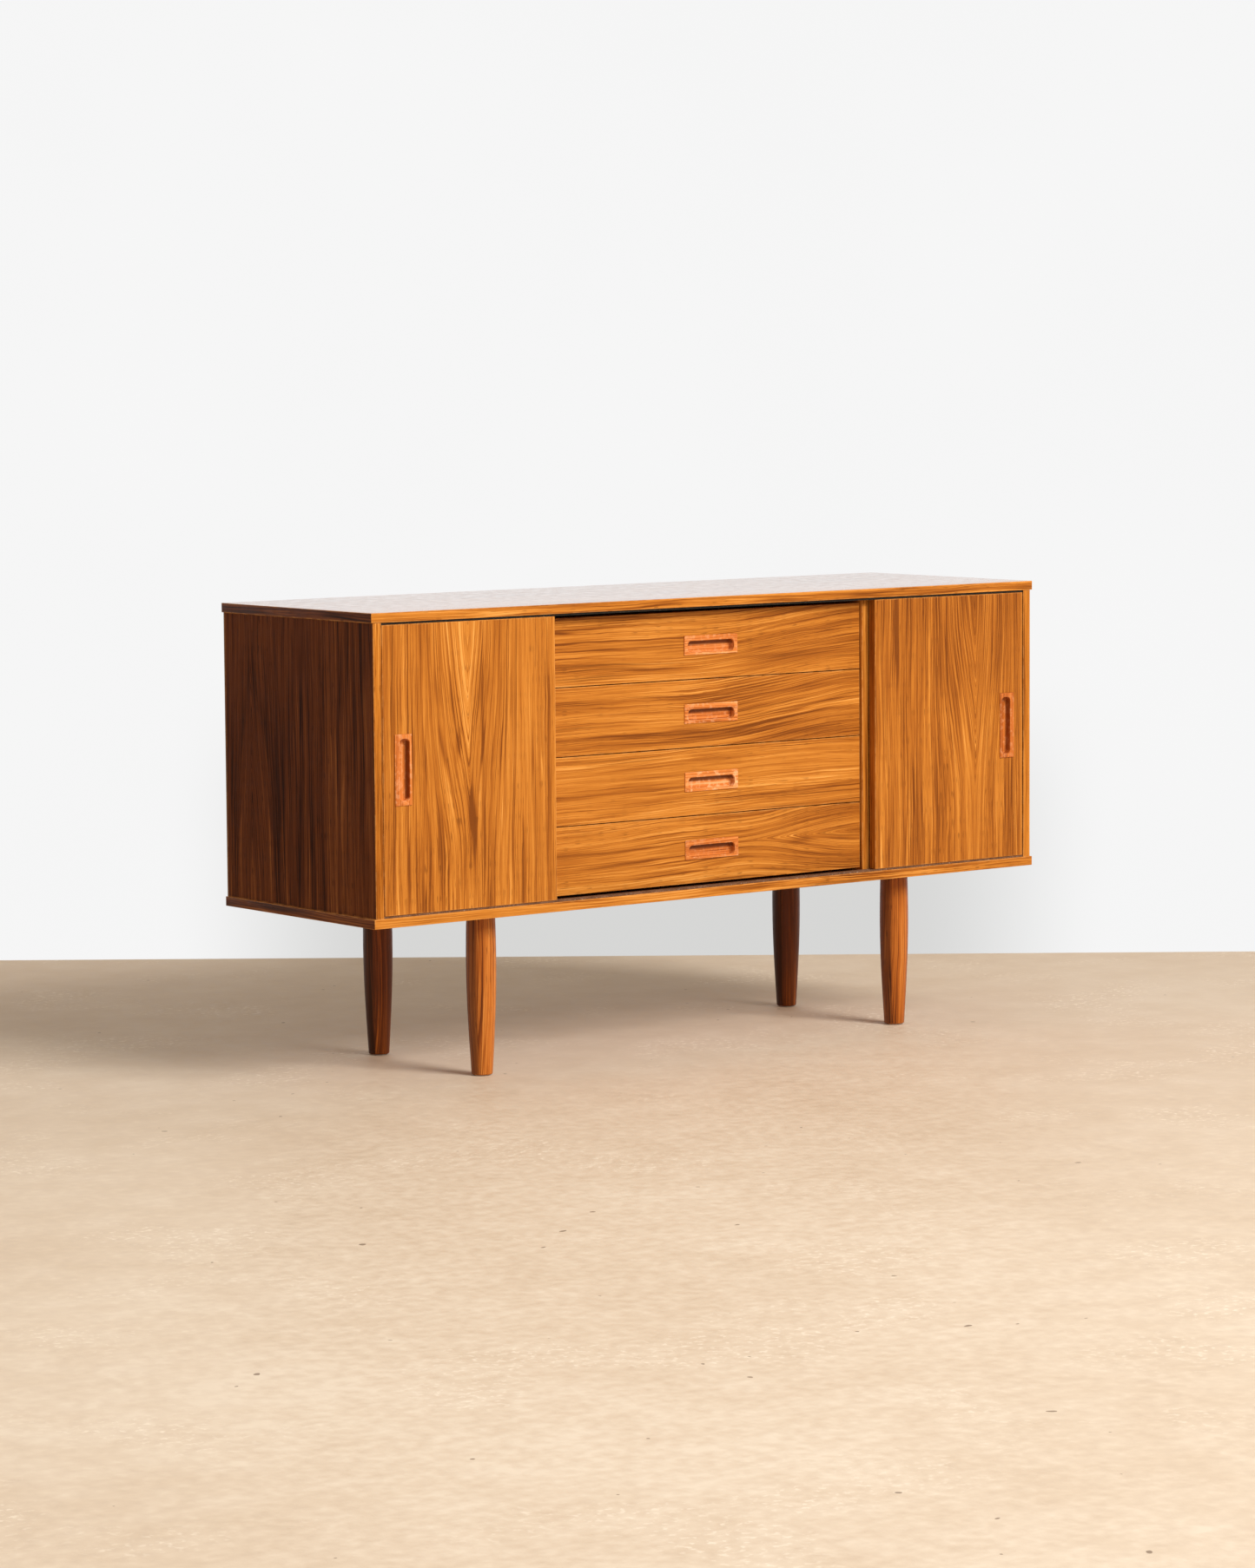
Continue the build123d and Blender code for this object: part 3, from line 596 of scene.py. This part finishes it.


# %% [markdown]
# ## A finish for each board
# No two boards of the cabinet have the same figure, so each gets a material of its own from the
# shared pattern. `heart` places the nested points, `hump` says where they start, how far they
# reach and how far they open, and `rise` lifts the lines. `marks` adds dark and pale spots. All
# are placed by shares of the board: across from its left, front or top edge, and along
# from its top, left or front end. `shaded` lets faces that look left take the dark set of
# colours, `wear` pales the edges, and `worn` lets bare wood through in patches.

# %% The recipe for a board
EDGE_REACH = 0.0024
FOIL_RELIEF = 0.00012
NO_HEART = 9.0


def box_shares(part, grain):
    """Two functions from a share to a place in metres: across the part and along its grain."""
    low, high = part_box(part)

    def place_on(axis, share):
        start, end = low[AXES[axis]], high[AXES[axis]]
        if axis == "Z":
            start, end = end, start
        return start + (end - start) * share

    return (lambda share: place_on(grain[1], share)), (lambda share: place_on(grain[0], share))


def teak_finish(part, grain, seed, colours=TEAK, tone=0.0, heart=None,
                hump=(0, 1, 0), rise=(0, 1, 0), marks=(), fineness=1.0, wear=0.5,
                shine=0.12, gloss=(0.40, 0.52), streaks=0.6, shaded=0.0, worn=0.0):
    """A part's own wood finish, from its box, the direction of its grain and a seed."""
    low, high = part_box(part)
    length = (high - low)[AXES[grain[0]]]
    across_at, along_at = box_shares(part, grain)
    finish, tree, shader, place = new_finish(part + "_wood", Specular_IOR_Level=shine)
    across, along = grain_place(tree, place, *grain)
    field = use_group(
        tree, bend, Across=across, Along=along, Seed=seed,
        Heart=NO_HEART if heart is None else across_at(heart),
        Hump_Middle=along_at(hump[0]), Hump_Reach=hump[1] * length, Hump=hump[2],
        Rise_Start=along_at(rise[0]), Rise_End=along_at(rise[1]), Rise=rise[2],
    )[0]
    shade = tone
    for centre, spread, amount in marks:
        spot_centre = (across_at(centre[0]), along_at(centre[1]))
        shade = calc(tree, "ADD", mark(tree, across, along, spot_centre, spread, amount), shade)
    pattern = use_group(tree, pattern_group, Field=field, Along=along, Seed=seed, Tone=shade,
                        Fineness=fineness)
    colour = wood_colour(tree, pattern, colours, streaks)
    # Painted shade: faces that look left take the dark set of colours.
    if shaded:
        facing = parts_of(tree, add_node(tree, "NewGeometry").outputs["True Normal"])[0]
        painted_shade_colour = wood_colour(tree, pattern, SHADED_TEAK, 0.85)
        colour = mix(tree, fade(tree, facing, -0.70, -0.92, 0, shaded), colour, painted_shade_colour)
    rubbed = noise(tree, place, 55, 4)
    if wear:
        edges = edge_nearness(tree, place, low, high, EDGE_REACH)
        edges = calc(tree, "MULTIPLY", edges, fade(tree, rubbed, 0.42, 0.60, 0.10, wear))
        colour = mix(tree, edges, colour, WORN_EDGE)
    if worn:
        bare = fade(tree, noise(tree, place, 130, 6), 0.48, 0.66, 0, worn)
        colour = mix(tree, bare, colour, BARE_WOOD)
    roughness = fade(tree, rubbed, 0.3, 0.7, *gloss)
    finish_surface(tree, shader, colour, roughness, pattern["Height"], FOIL_RELIEF)
    return finish


def paint(part, finish):
    """Puts the finish in the part's own material slots."""
    for material_slot in nodes[part].material_slots:
        material_slot.material = finish
    print(part, "gets", finish.name)


# %% [markdown]
# ## Sides, dividers and shelves
# Each board's letters name the axis along its grain, the one across its face and the one through
# its thickness: uprights have standing grain, slabs and shelves have grain from end to end. The
# outer face of the left side looks left, so `shaded` paints the shade of the case's left end into
# its colour.

# %% Finish the uprights and shelves
FLAT = ("X", "Y", "Z")
UPRIGHT = ("Z", "Y", "X")
DOOR = ("Z", "X", "Y")
DRAWER = ("X", "Z", "Y")

for side, seed in (("left", 31), ("right", 43)):
    paint(f"side_panel_{side}", teak_finish(
        f"side_panel_{side}", UPRIGHT, seed, shaded=1.0, heart=0.83, hump=(1.0, 0.95, 0.030),
        wear=0.35, shine=0.03,
        marks=[
            ((0.25, 0.40), (0.030, 0.300), 0.10),
            ((0.50, 0.30), (0.012, 0.200), -0.14),
            ((0.42, 0.75), (0.010, 0.160), -0.16),
            ((0.66, 0.60), (0.014, 0.300), -0.12),
        ],
    ))
    # The dividers' higher tone is painted light that lifts the shade on their front edges.
    paint(f"divider_{side}", teak_finish(f"divider_{side}", UPRIGHT, seed + 5, tone=0.16))
    paint(f"shelf_{side}", teak_finish(f"shelf_{side}", FLAT, seed + 9))

# %% [markdown]
# ## Doors and drawer fronts
# The doors' standing grain shows long nested points from the heart of the log, with dark strands
# at their tips. The drawers' lines run level and rise a little to the right, and the lowest one
# shows points that open to the right. These are the faces that everyone looks at, so their marks
# are placed one by one: where, how far the spot spreads, and how dark or pale it is.

# %% Finish the doors
paint("door_left", teak_finish(
    "door_left", DOOR, 52, tone=-0.01, fineness=1.25, heart=0.49, hump=(-0.10, 0.95, 0.036), wear=0.35,
    marks=[
        ((0.502, 0.65), (0.0045, 0.034), -0.62),
        ((0.520, 0.73), (0.0040, 0.036), -0.70),
        ((0.430, 0.42), (0.005, 0.022), -0.45),
        ((0.460, 0.22), (0.013, 0.120), 0.14),
        ((0.570, 0.28), (0.0035, 0.160), -0.34),
        ((0.960, 0.60), (0.008, 0.300), -0.16),
        ((0.800, 0.50), (0.012, 0.400), 0.06),
        ((0.040, 0.50), (0.010, 0.350), -0.10),
        ((0.140, 0.82), (0.005, 0.090), -0.32),
    ],
))
# The right door's lower tone is painted shade: the light falls off towards the right.
paint("door_right", teak_finish(
    "door_right", DOOR, 61, tone=-0.14, fineness=1.25, heart=0.67, hump=(-0.10, 0.90, 0.034), wear=0.35,
    marks=[
        ((0.15, 0.15), (0.004, 0.090), -0.40),
        ((0.54, 0.25), (0.012, 0.160), -0.14),
        ((0.38, 0.20), (0.010, 0.110), 0.12),
        ((0.80, 0.60), (0.012, 0.250), 0.08),
    ],
))

# %% Finish the drawer fronts
# Painted shade: the right ends of the drawers are darker, where the light falls off.
painted_falloff_right = ((0.5, 0.95), (0.300, 0.260), -0.12)
drawer_figures = {
    1: dict(
        tone=0.03, rise=(0.45, 1.0, 0.028),
        marks=[painted_falloff_right, ((0.72, 0.70), (0.007, 0.200), -0.14)],
    ),
    2: dict(
        tone=-0.01, rise=(0.40, 1.0, 0.032),
        marks=[painted_falloff_right, ((0.85, 0.75), (0.010, 0.180), -0.18)],
    ),
    3: dict(
        tone=0.03, rise=(0.0, 1.0, 0.012),
        marks=[((0.5, 1.0), (0.300, 0.200), -0.05)],
    ),
    4: dict(
        tone=0.02, heart=0.50, hump=(1.0, 0.40, 0.026), rise=(0.0, 0.7, 0.010),
        marks=[
            painted_falloff_right,
            ((0.50, 0.80), (0.006, 0.030), -0.30),
            ((0.42, 0.05), (0.006, 0.060), -0.16),
        ],
    ),
}
for number, figure in drawer_figures.items():
    front = f"drawer_{number}_front"
    paint(front, teak_finish(front, DRAWER, 70 + 7 * number, wear=0.35, fineness=1.5, **figure))

# %% [markdown]
# ## The wood inside
# Drawer boxes and runners are made of pale beech, which shows short flecks and hardly any bands.
# The same pattern serves, in beech's colours and with a finer field. Dowels and runners are too
# small for a figure of their own, but they are the same wood, so they share the recipe. `INWARDS`
# is grain that runs from front to back.

# %% Drawer boxes, runners and dowels
INWARDS = ("Y", "Z", "X")
for number in drawer_figures:
    for piece, grain in (
        ("side_left", INWARDS), ("side_right", INWARDS), ("back", DRAWER), ("dowels", INWARDS),
    ):
        part = f"drawer_{number}_{piece}"
        paint(part, teak_finish(part, grain, 110 + number, colours=BEECH, wear=0, streaks=0.2,
                                shine=0.25, fineness=1.3))
for part, grain in (
    ("drawer_runners_left", INWARDS), ("drawer_runners_right", INWARDS), ("case_dowels", DOOR),
):
    paint(part, teak_finish(part, grain, 131, colours=BEECH, wear=0, streaks=0.2, shine=0.25,
                            fineness=1.6))

# %% [markdown]
# ## Hardboard, plastic and steel
# Hardboard is pressed fibre: brown, even, and mottled like felt. The tracks are extruded plastic,
# one black and one brown, with a film of dust that settles in patches. Small steel parts
# are zinc plated, so a metal shader with cloudy roughness is enough for them.

# %% A recipe for speckled surfaces
DUST = (0.62, 0.56, 0.48, 1)
COLOUR_STOPS = (0.38, 0.50, 0.62)


def speckled_finish(name, colours, scale, gloss, relief, dust=0.0, **constants):
    """Fine mottling in a few close colours, with dust lying over it in patches."""
    finish, tree, shader, place = new_finish(name, **constants)
    mottled = noise(tree, place, scale, 5)
    patches = noise(tree, place, scale / 12, 4)
    value = weighted(tree, (mottled, 0.6), (patches, 0.4))
    colour = ramp(tree, value, list(zip(COLOUR_STOPS, colours)))
    if dust:
        specks = fade(tree, noise(tree, place, 420, 2), 0.60, 0.70)
        film = calc(tree, "MULTIPLY", weighted(tree, (specks, 1.0), (patches, 0.2)), dust)
        colour = mix(tree, film, colour, DUST)
    finish_surface(tree, shader, colour, fade(tree, mottled, 0.3, 0.7, *gloss), mottled, relief)
    return finish


# %% Hardboard, tracks and small parts
hardboard = speckled_finish(
    "hardboard_fibre", [(0.150, 0.070, 0.032), (0.205, 0.105, 0.052), (0.260, 0.145, 0.078)], 900,
    (0.55, 0.75), 0.00015, Specular_IOR_Level=0.2,
)
for part in ["back_panel"] + [f"drawer_{number}_bottom" for number in drawer_figures]:
    paint(part, hardboard)
paint("upper_track", speckled_finish(
    "black_track", [(0.008, 0.007, 0.006), (0.014, 0.012, 0.010), (0.022, 0.018, 0.015)], 500,
    (0.45, 0.65), 0.00005, dust=0.06, Specular_IOR_Level=0.15,
))
paint("lower_track", speckled_finish(
    "brown_track", [(0.090, 0.036, 0.016), (0.130, 0.056, 0.026), (0.180, 0.084, 0.042)], 500,
    (0.45, 0.65), 0.00005, dust=0.30, Specular_IOR_Level=0.05,
))
plastic = speckled_finish(
    "glide_plastic_white", [(0.66, 0.64, 0.58), (0.72, 0.70, 0.64), (0.76, 0.74, 0.69)], 300,
    (0.30, 0.42), 0.00003,
)
for part in ("door_glides_left", "door_glides_right", "door_guides_left", "door_guides_right",
             "foot_glides", "shelf_pins"):
    paint(part, plastic)
zinc = speckled_finish(
    "zinc_plate", [(0.50, 0.50, 0.48), (0.60, 0.60, 0.58), (0.70, 0.70, 0.66)], 350, (0.25, 0.45),
    0.00003, Metallic=1.0,
)
for part in ("leg_hanger_bolts", "leg_insert_nuts", "runner_screws", "back_panel_nails"):
    paint(part, zinc)

# %% [markdown]
# ## The pulls
# Each pull is a block of reddish hardwood, let into its panel a little proud, with a finger recess
# cut nearer to one long side. It could be cut with a boolean, but two outlines bridged into a rim,
# one of them pushed in, give clean quads all round. The bevels on the rim are marked as a second
# material, because that is where fingers wear the stain off.

# %% Sizes of a pull, and a bevel for everything
PULL_LENGTH, PULL_WIDTH, PULL_DEPTH = 0.116, 0.033, 0.014
PULL_CORNER = 0.0008
RECESS_LENGTH, RECESS_WIDTH, RECESS_DEPTH = 0.101, 0.020, 0.0115
RECESS_CORNER = 0.0075
RECESS_SHIFT = -0.0025
CORNER_SEGMENTS = 6
FLOOR_ROUND, FLOOR_SEGMENTS = 0.0020, 4
RIM_ROUND, BLOCK_ROUND, RIM_SEGMENTS = 0.0008, 0.0006, 3


def bevel(mesh, geometry, offset, segments, affect="EDGES"):
    return bmesh.ops.bevel(
        mesh, geom=geometry, offset=offset, segments=segments, affect=affect, profile=0.5,
        material=-1, offset_type="OFFSET", clamp_overlap=True,
    )["faces"]


# %% Model a pull
def model_pull():
    """A pull lying level, its face at y = 0 and its wide rim on top."""
    mesh = bmesh.new()
    loops = []
    for length, width, radius, shift in (
        (PULL_LENGTH, PULL_WIDTH, PULL_CORNER, 0),
        (RECESS_LENGTH, RECESS_WIDTH, RECESS_CORNER, RECESS_SHIFT),
    ):
        part = bmesh.new()
        bmesh.ops.create_grid(part, x_segments=1, y_segments=1, size=0.5)
        stand = Matrix.Translation((0, 0, shift)) @ Matrix.Rotation(math.pi / 2, 4, "X")
        stretch = Matrix.Diagonal((length, width, 1, 1))
        bmesh.ops.transform(part, verts=part.verts, matrix=stand @ stretch)
        bevel(part, list(part.verts), radius, CORNER_SEGMENTS, "VERTICES")
        bmesh.ops.delete(part, geom=list(part.faces), context="FACES_ONLY")
        outline = bpy.data.meshes.new("outline")
        part.to_mesh(outline)
        part.free()
        before = set(mesh.edges)
        mesh.from_mesh(outline)
        bpy.data.meshes.remove(outline)
        loops.append([edge for edge in mesh.edges if edge not in before])
    outer, inner = loops
    bmesh.ops.bridge_loops(mesh, edges=outer + inner)

    def push_in(edges, depth):
        """Draws a wall back from the edges and closes it at the far end."""
        moved = bmesh.ops.extrude_edge_only(mesh, edges=edges)["geom"]
        verts = [item for item in moved if isinstance(item, bmesh.types.BMVert)]
        bmesh.ops.translate(mesh, verts=verts, vec=(0, depth, 0))
        far_edges = [item for item in moved if isinstance(item, bmesh.types.BMEdge)
                     and all(vert in verts for vert in item.verts)]
        bmesh.ops.contextual_create(mesh, geom=far_edges)
        return far_edges

    floor_edges = push_in(inner, RECESS_DEPTH)
    push_in(outer, PULL_DEPTH)
    bmesh.ops.recalc_face_normals(mesh, faces=mesh.faces)
    bevel(mesh, floor_edges, FLOOR_ROUND, FLOOR_SEGMENTS)
    for edges, offset in ((inner, RIM_ROUND), (outer, BLOCK_ROUND)):
        kept_edges = [edge for edge in edges if edge.is_valid]
        for face in bevel(mesh, kept_edges, offset, RIM_SEGMENTS):
            face.material_index = 1
    return mesh


# %% Turn a mesh into a piece
SHARP_ANGLE = math.radians(40)


def finish_piece(mesh, name, matrix, body, materials, replaced):
    """Turns a bmesh into a smooth object that stands for a CAD node."""
    bmesh.ops.transform(mesh, verts=mesh.verts, matrix=matrix)
    data = bpy.data.meshes.new(name)
    mesh.to_mesh(data)
    mesh.free()
    data.shade_smooth()
    data.set_sharp_from_angle(angle=SHARP_ANGLE)
    for material in materials:
        data.materials.append(material)
    piece = bpy.data.objects.new(name, data)
    bpy.context.scene.collection.objects.link(piece)
    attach(piece, body)
    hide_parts(replaced)
    print(name, len(data.polygons), "faces on", body)
    return piece


# %% [markdown]
# ## Painted shade and wear on the pulls
# The shade behind one wall of each recess is painted into the colour. It is
# mixed over the finished wood by two fades: how deep a point lies behind the face, and how near
# to that wall it is. Each pull has its own tone and its own share of worn wood.

# %% Painted shade in the recess
# How deep, and how near its wall, the painted shade in a recess reaches.
RECESS_SHADE_BEGINS, RECESS_SHADE_FULL = 0.0015, 0.0050
RECESS_SHADE_FADE = 0.0035
RECESS_SHADE_STRENGTH = 0.8
RECESS_SHADE_COLOUR = (0.13, 0.028, 0.006, 1)


def paint_recess_shade(finish, face_centre, direction, edge, reach):
    """Paints shade into the recess near one of its walls, edge metres from the middle of the pull."""
    tree = finish.node_tree
    shader = tree.nodes["Principled BSDF"]
    place = add_node(tree, "TexCoord").outputs["Object"]
    here = calc_vector(tree, "SUBTRACT", place, face_centre)
    across = share_of(tree, here, direction)
    deep = fade(tree, parts_of(tree, here)[1], RECESS_SHADE_BEGINS, RECESS_SHADE_FULL)
    near = fade(tree, across, edge - reach, edge - reach + RECESS_SHADE_FADE, 0, RECESS_SHADE_STRENGTH)
    unshaded_colour = shader.inputs["Base Color"].links[0].from_socket
    share = calc(tree, "MULTIPLY", deep, near)
    feed(tree, mix(tree, share, unshaded_colour, RECESS_SHADE_COLOUR), shader.inputs["Base Color"])


# %% Place the six pulls
pull_places = {
    "door_pull_left": ("left_door", DOOR, -math.pi / 2),
    "door_pull_right": ("right_door", DOOR, math.pi / 2),
}
for number in drawer_figures:
    pull_places[f"drawer_{number}_pull"] = (f"drawer_{number}", DRAWER, 0)

PULL_TONES = {"drawer_3_pull": 0.12, "drawer_4_pull": -0.02, "door_pull_right": -0.22}
PULL_WEAR = {"drawer_3_pull": 0.60, "drawer_4_pull": 0.15}
RIM_WEAR = {"door_pull_right": 0.15}
RECESS_SHADE_REACH = {"door_pull_left": 0.0030, "door_pull_right": 0.0020}
DRAWER_RECESS_SHADE_REACH = 0.0090

for seed, (part, (body, grain, turn)) in enumerate(pull_places.items()):
    low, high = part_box(part)
    middle_of_face = Vector(((low.x + high.x) / 2, low.y, (low.z + high.z) / 2))
    matrix = Matrix.Translation(middle_of_face) @ Matrix.Rotation(turn, 4, "Y")
    look = dict(colours=PULL_WOOD, wear=0, shine=0.2, gloss=(0.30, 0.45), streaks=0.3, fineness=1.2,
                tone=PULL_TONES.get(part, 0.0))
    block = teak_finish(part, grain, 140 + 3 * seed, worn=PULL_WEAR.get(part, 0.25), **look)
    rim = teak_finish(part, grain, 141 + 3 * seed, worn=RIM_WEAR.get(part, 0.60), **look)
    # Painted shade in the recess, on the side of its shaded wall.
    if turn:
        wall_at = RECESS_WIDTH / 2 + round(math.sin(turn)) * RECESS_SHIFT
        paint_recess_shade(block, middle_of_face, Vector((1, 0, 0)), wall_at, RECESS_SHADE_REACH[part])
    else:
        wall_at = RECESS_WIDTH / 2 + RECESS_SHIFT
        paint_recess_shade(block, middle_of_face, Vector((0, 0, 1)), wall_at, DRAWER_RECESS_SHADE_REACH)
    finish_piece(model_pull(), part + "_carved", matrix, body, [block, rim], part)

# %% [markdown]
# ## The two slabs
# Top and bottom are boards whose wide faces are covered with foil and whose narrow faces carry
# strips of edging, glued on afterwards. The top's foil is polished by dusting, while the edging
# stays dull, and one shader can't be both. So the boards are modelled again: a cube is stretched
# to the board's size and its edges are rounded. Four plane cuts mark out the groove for the door
# track on the inner face, and the marked face is pushed in. The narrow faces get a second
# material.

# %% Model a slab
EDGE_ROUND, EDGE_SEGMENTS = 0.0008, 3
GROOVE_WIDTH = 0.008
GROOVE_END_GAP = 0.0005
SAME_HEIGHT = 1e-5
LEVEL_ENOUGH = 0.8


def model_slab(part, track):
    """A board as large as the CAD slab, with its track's groove on the inner face."""
    low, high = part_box(part)
    track_low, track_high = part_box(track)
    mesh = bmesh.new()
    bmesh.ops.create_cube(mesh, size=1)
    stretch = Matrix.Translation((low + high) / 2) @ Matrix.Diagonal((*(high - low), 1))
    bmesh.ops.transform(mesh, verts=mesh.verts, matrix=stretch)
    bevel(mesh, list(mesh.edges), EDGE_ROUND, EDGE_SEGMENTS)
    track_middle = (track_low.y + track_high.y) / 2
    cuts = [((0, track_middle + side * GROOVE_WIDTH / 2, 0), (0, 1, 0)) for side in (-1, 1)]
    groove_ends = (track_low.x - GROOVE_END_GAP, track_high.x + GROOVE_END_GAP)
    cuts += [((x, 0, 0), (1, 0, 0)) for x in groove_ends]
    for point, normal in cuts:
        everything = list(mesh.verts) + list(mesh.edges) + list(mesh.faces)
        bmesh.ops.bisect_plane(mesh, geom=everything, dist=1e-6, plane_co=point, plane_no=normal)
    if track_high.z > high.z:
        inner_z, groove_z = high.z, track_low.z
    else:
        inner_z, groove_z = low.z, track_high.z
    for face in list(mesh.faces):
        centre = face.calc_center_median()
        inside = groove_ends[0] < centre.x < groove_ends[1]
        in_groove = abs(centre.y - track_middle) < GROOVE_WIDTH / 2
        if inside and in_groove and abs(centre.z - inner_z) < SAME_HEIGHT:
            groove = bmesh.ops.extrude_discrete_faces(mesh, faces=[face])["faces"]
            bmesh.ops.translate(mesh, verts=groove[0].verts, vec=(0, 0, groove_z - inner_z))
            print(part, "groove", round(abs(groove_z - inner_z) * 1000, 2), "mm deep")
    bmesh.ops.recalc_face_normals(mesh, faces=mesh.faces)
    for face in mesh.faces:
        face.material_index = 0 if abs(face.normal.z) > LEVEL_ENOUGH else 1
    return mesh


# %% Place the top and the bottom
for part, track, seed, shine, gloss in (
    ("top_panel", "upper_track", 11, 1.0, (0.04, 0.09)),
    ("bottom_panel", "lower_track", 23, 0.3, (0.35, 0.45)),
):
    foil = teak_finish(part, FLAT, seed, tone=0.02, heart=0.4, hump=(0.0, 0.9, 0.030), wear=0,
                       shine=shine, gloss=gloss)
    # The edging's ends that look left get the same painted shade as the left side.
    edging = teak_finish(part, FLAT, seed + 1, tone=0.02, wear=0.45, shine=0.08, shaded=1.0)
    finish_piece(model_slab(part, track), part + "_board", Matrix.Identity(4), "case", [foil, edging],
                 part)

# %% [markdown]
# ## The legs
# A turned leg is a profile spun round its axis. The radii below are taken every few centimetres
# up the leg: a small round at the foot, a long taper, a full belly above the middle and a slight
# draw-in under the cabinet. The last three points bore the hole for the hanger bolt. Their grain
# stands as a door's does. Light and shade are painted into each leg's colour: the back legs are
# darker for the cabinet's shade over them, the front left one is lighter, and `shaded` darkens the
# side of each leg that looks left.

# %% Turn a leg
LEG_STEPS = 72
LEG_PROFILE = [
    (0.0, 1.5), (15.3, 1.5), (16.9, 2.1), (17.6, 3.0), (17.8, 4.0), (18.16, 10), (18.76, 20),
    (19.95, 40), (21.10, 60), (22.16, 80), (23.13, 100), (23.96, 120), (24.60, 140), (25.07, 160),
    (25.30, 180), (25.35, 196), (25.24, 212), (24.95, 232), (24.54, 252), (24.10, 268), (24.0, 272),
    (4.05, 272), (4.05, 236.5), (0.0, 236.5),
]


def model_leg():
    """A leg standing on the origin, its profile given in millimetres."""
    mesh = bmesh.new()
    points = [mesh.verts.new((radius / 1000, 0, height / 1000)) for radius, height in LEG_PROFILE]
    edges = [mesh.edges.new(pair) for pair in zip(points, points[1:])]
    bmesh.ops.spin(
        mesh, geom=points + edges, cent=(0, 0, 0), axis=(0, 0, 1), angle=2 * math.pi,
        steps=LEG_STEPS, use_merge=True,
    )
    bmesh.ops.remove_doubles(mesh, verts=mesh.verts, dist=1e-6)
    bmesh.ops.recalc_face_normals(mesh, faces=mesh.faces)
    return mesh


# %% Place the four legs
# Painted light and shade: back legs darker, the front left one lighter.
LEG_PAINTED_LIGHT = {"front_left": 0.20, "front_right": 0.0, "back_left": -0.28, "back_right": -0.36}

for seed, (corner, tone) in enumerate(LEG_PAINTED_LIGHT.items()):
    part = "leg_" + corner
    low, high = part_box(part)
    foot = Matrix.Translation(((low.x + high.x) / 2, (low.y + high.y) / 2, 0))
    wood = teak_finish(part, DOOR, 170 + 4 * seed, colours=LEG_WOOD, wear=0, shine=0.22,
                       gloss=(0.30, 0.42), streaks=0.4, heart=-0.4, tone=tone, shaded=0.8)
    finish_piece(model_leg(), part + "_turned", foot, "case", [wood], part)
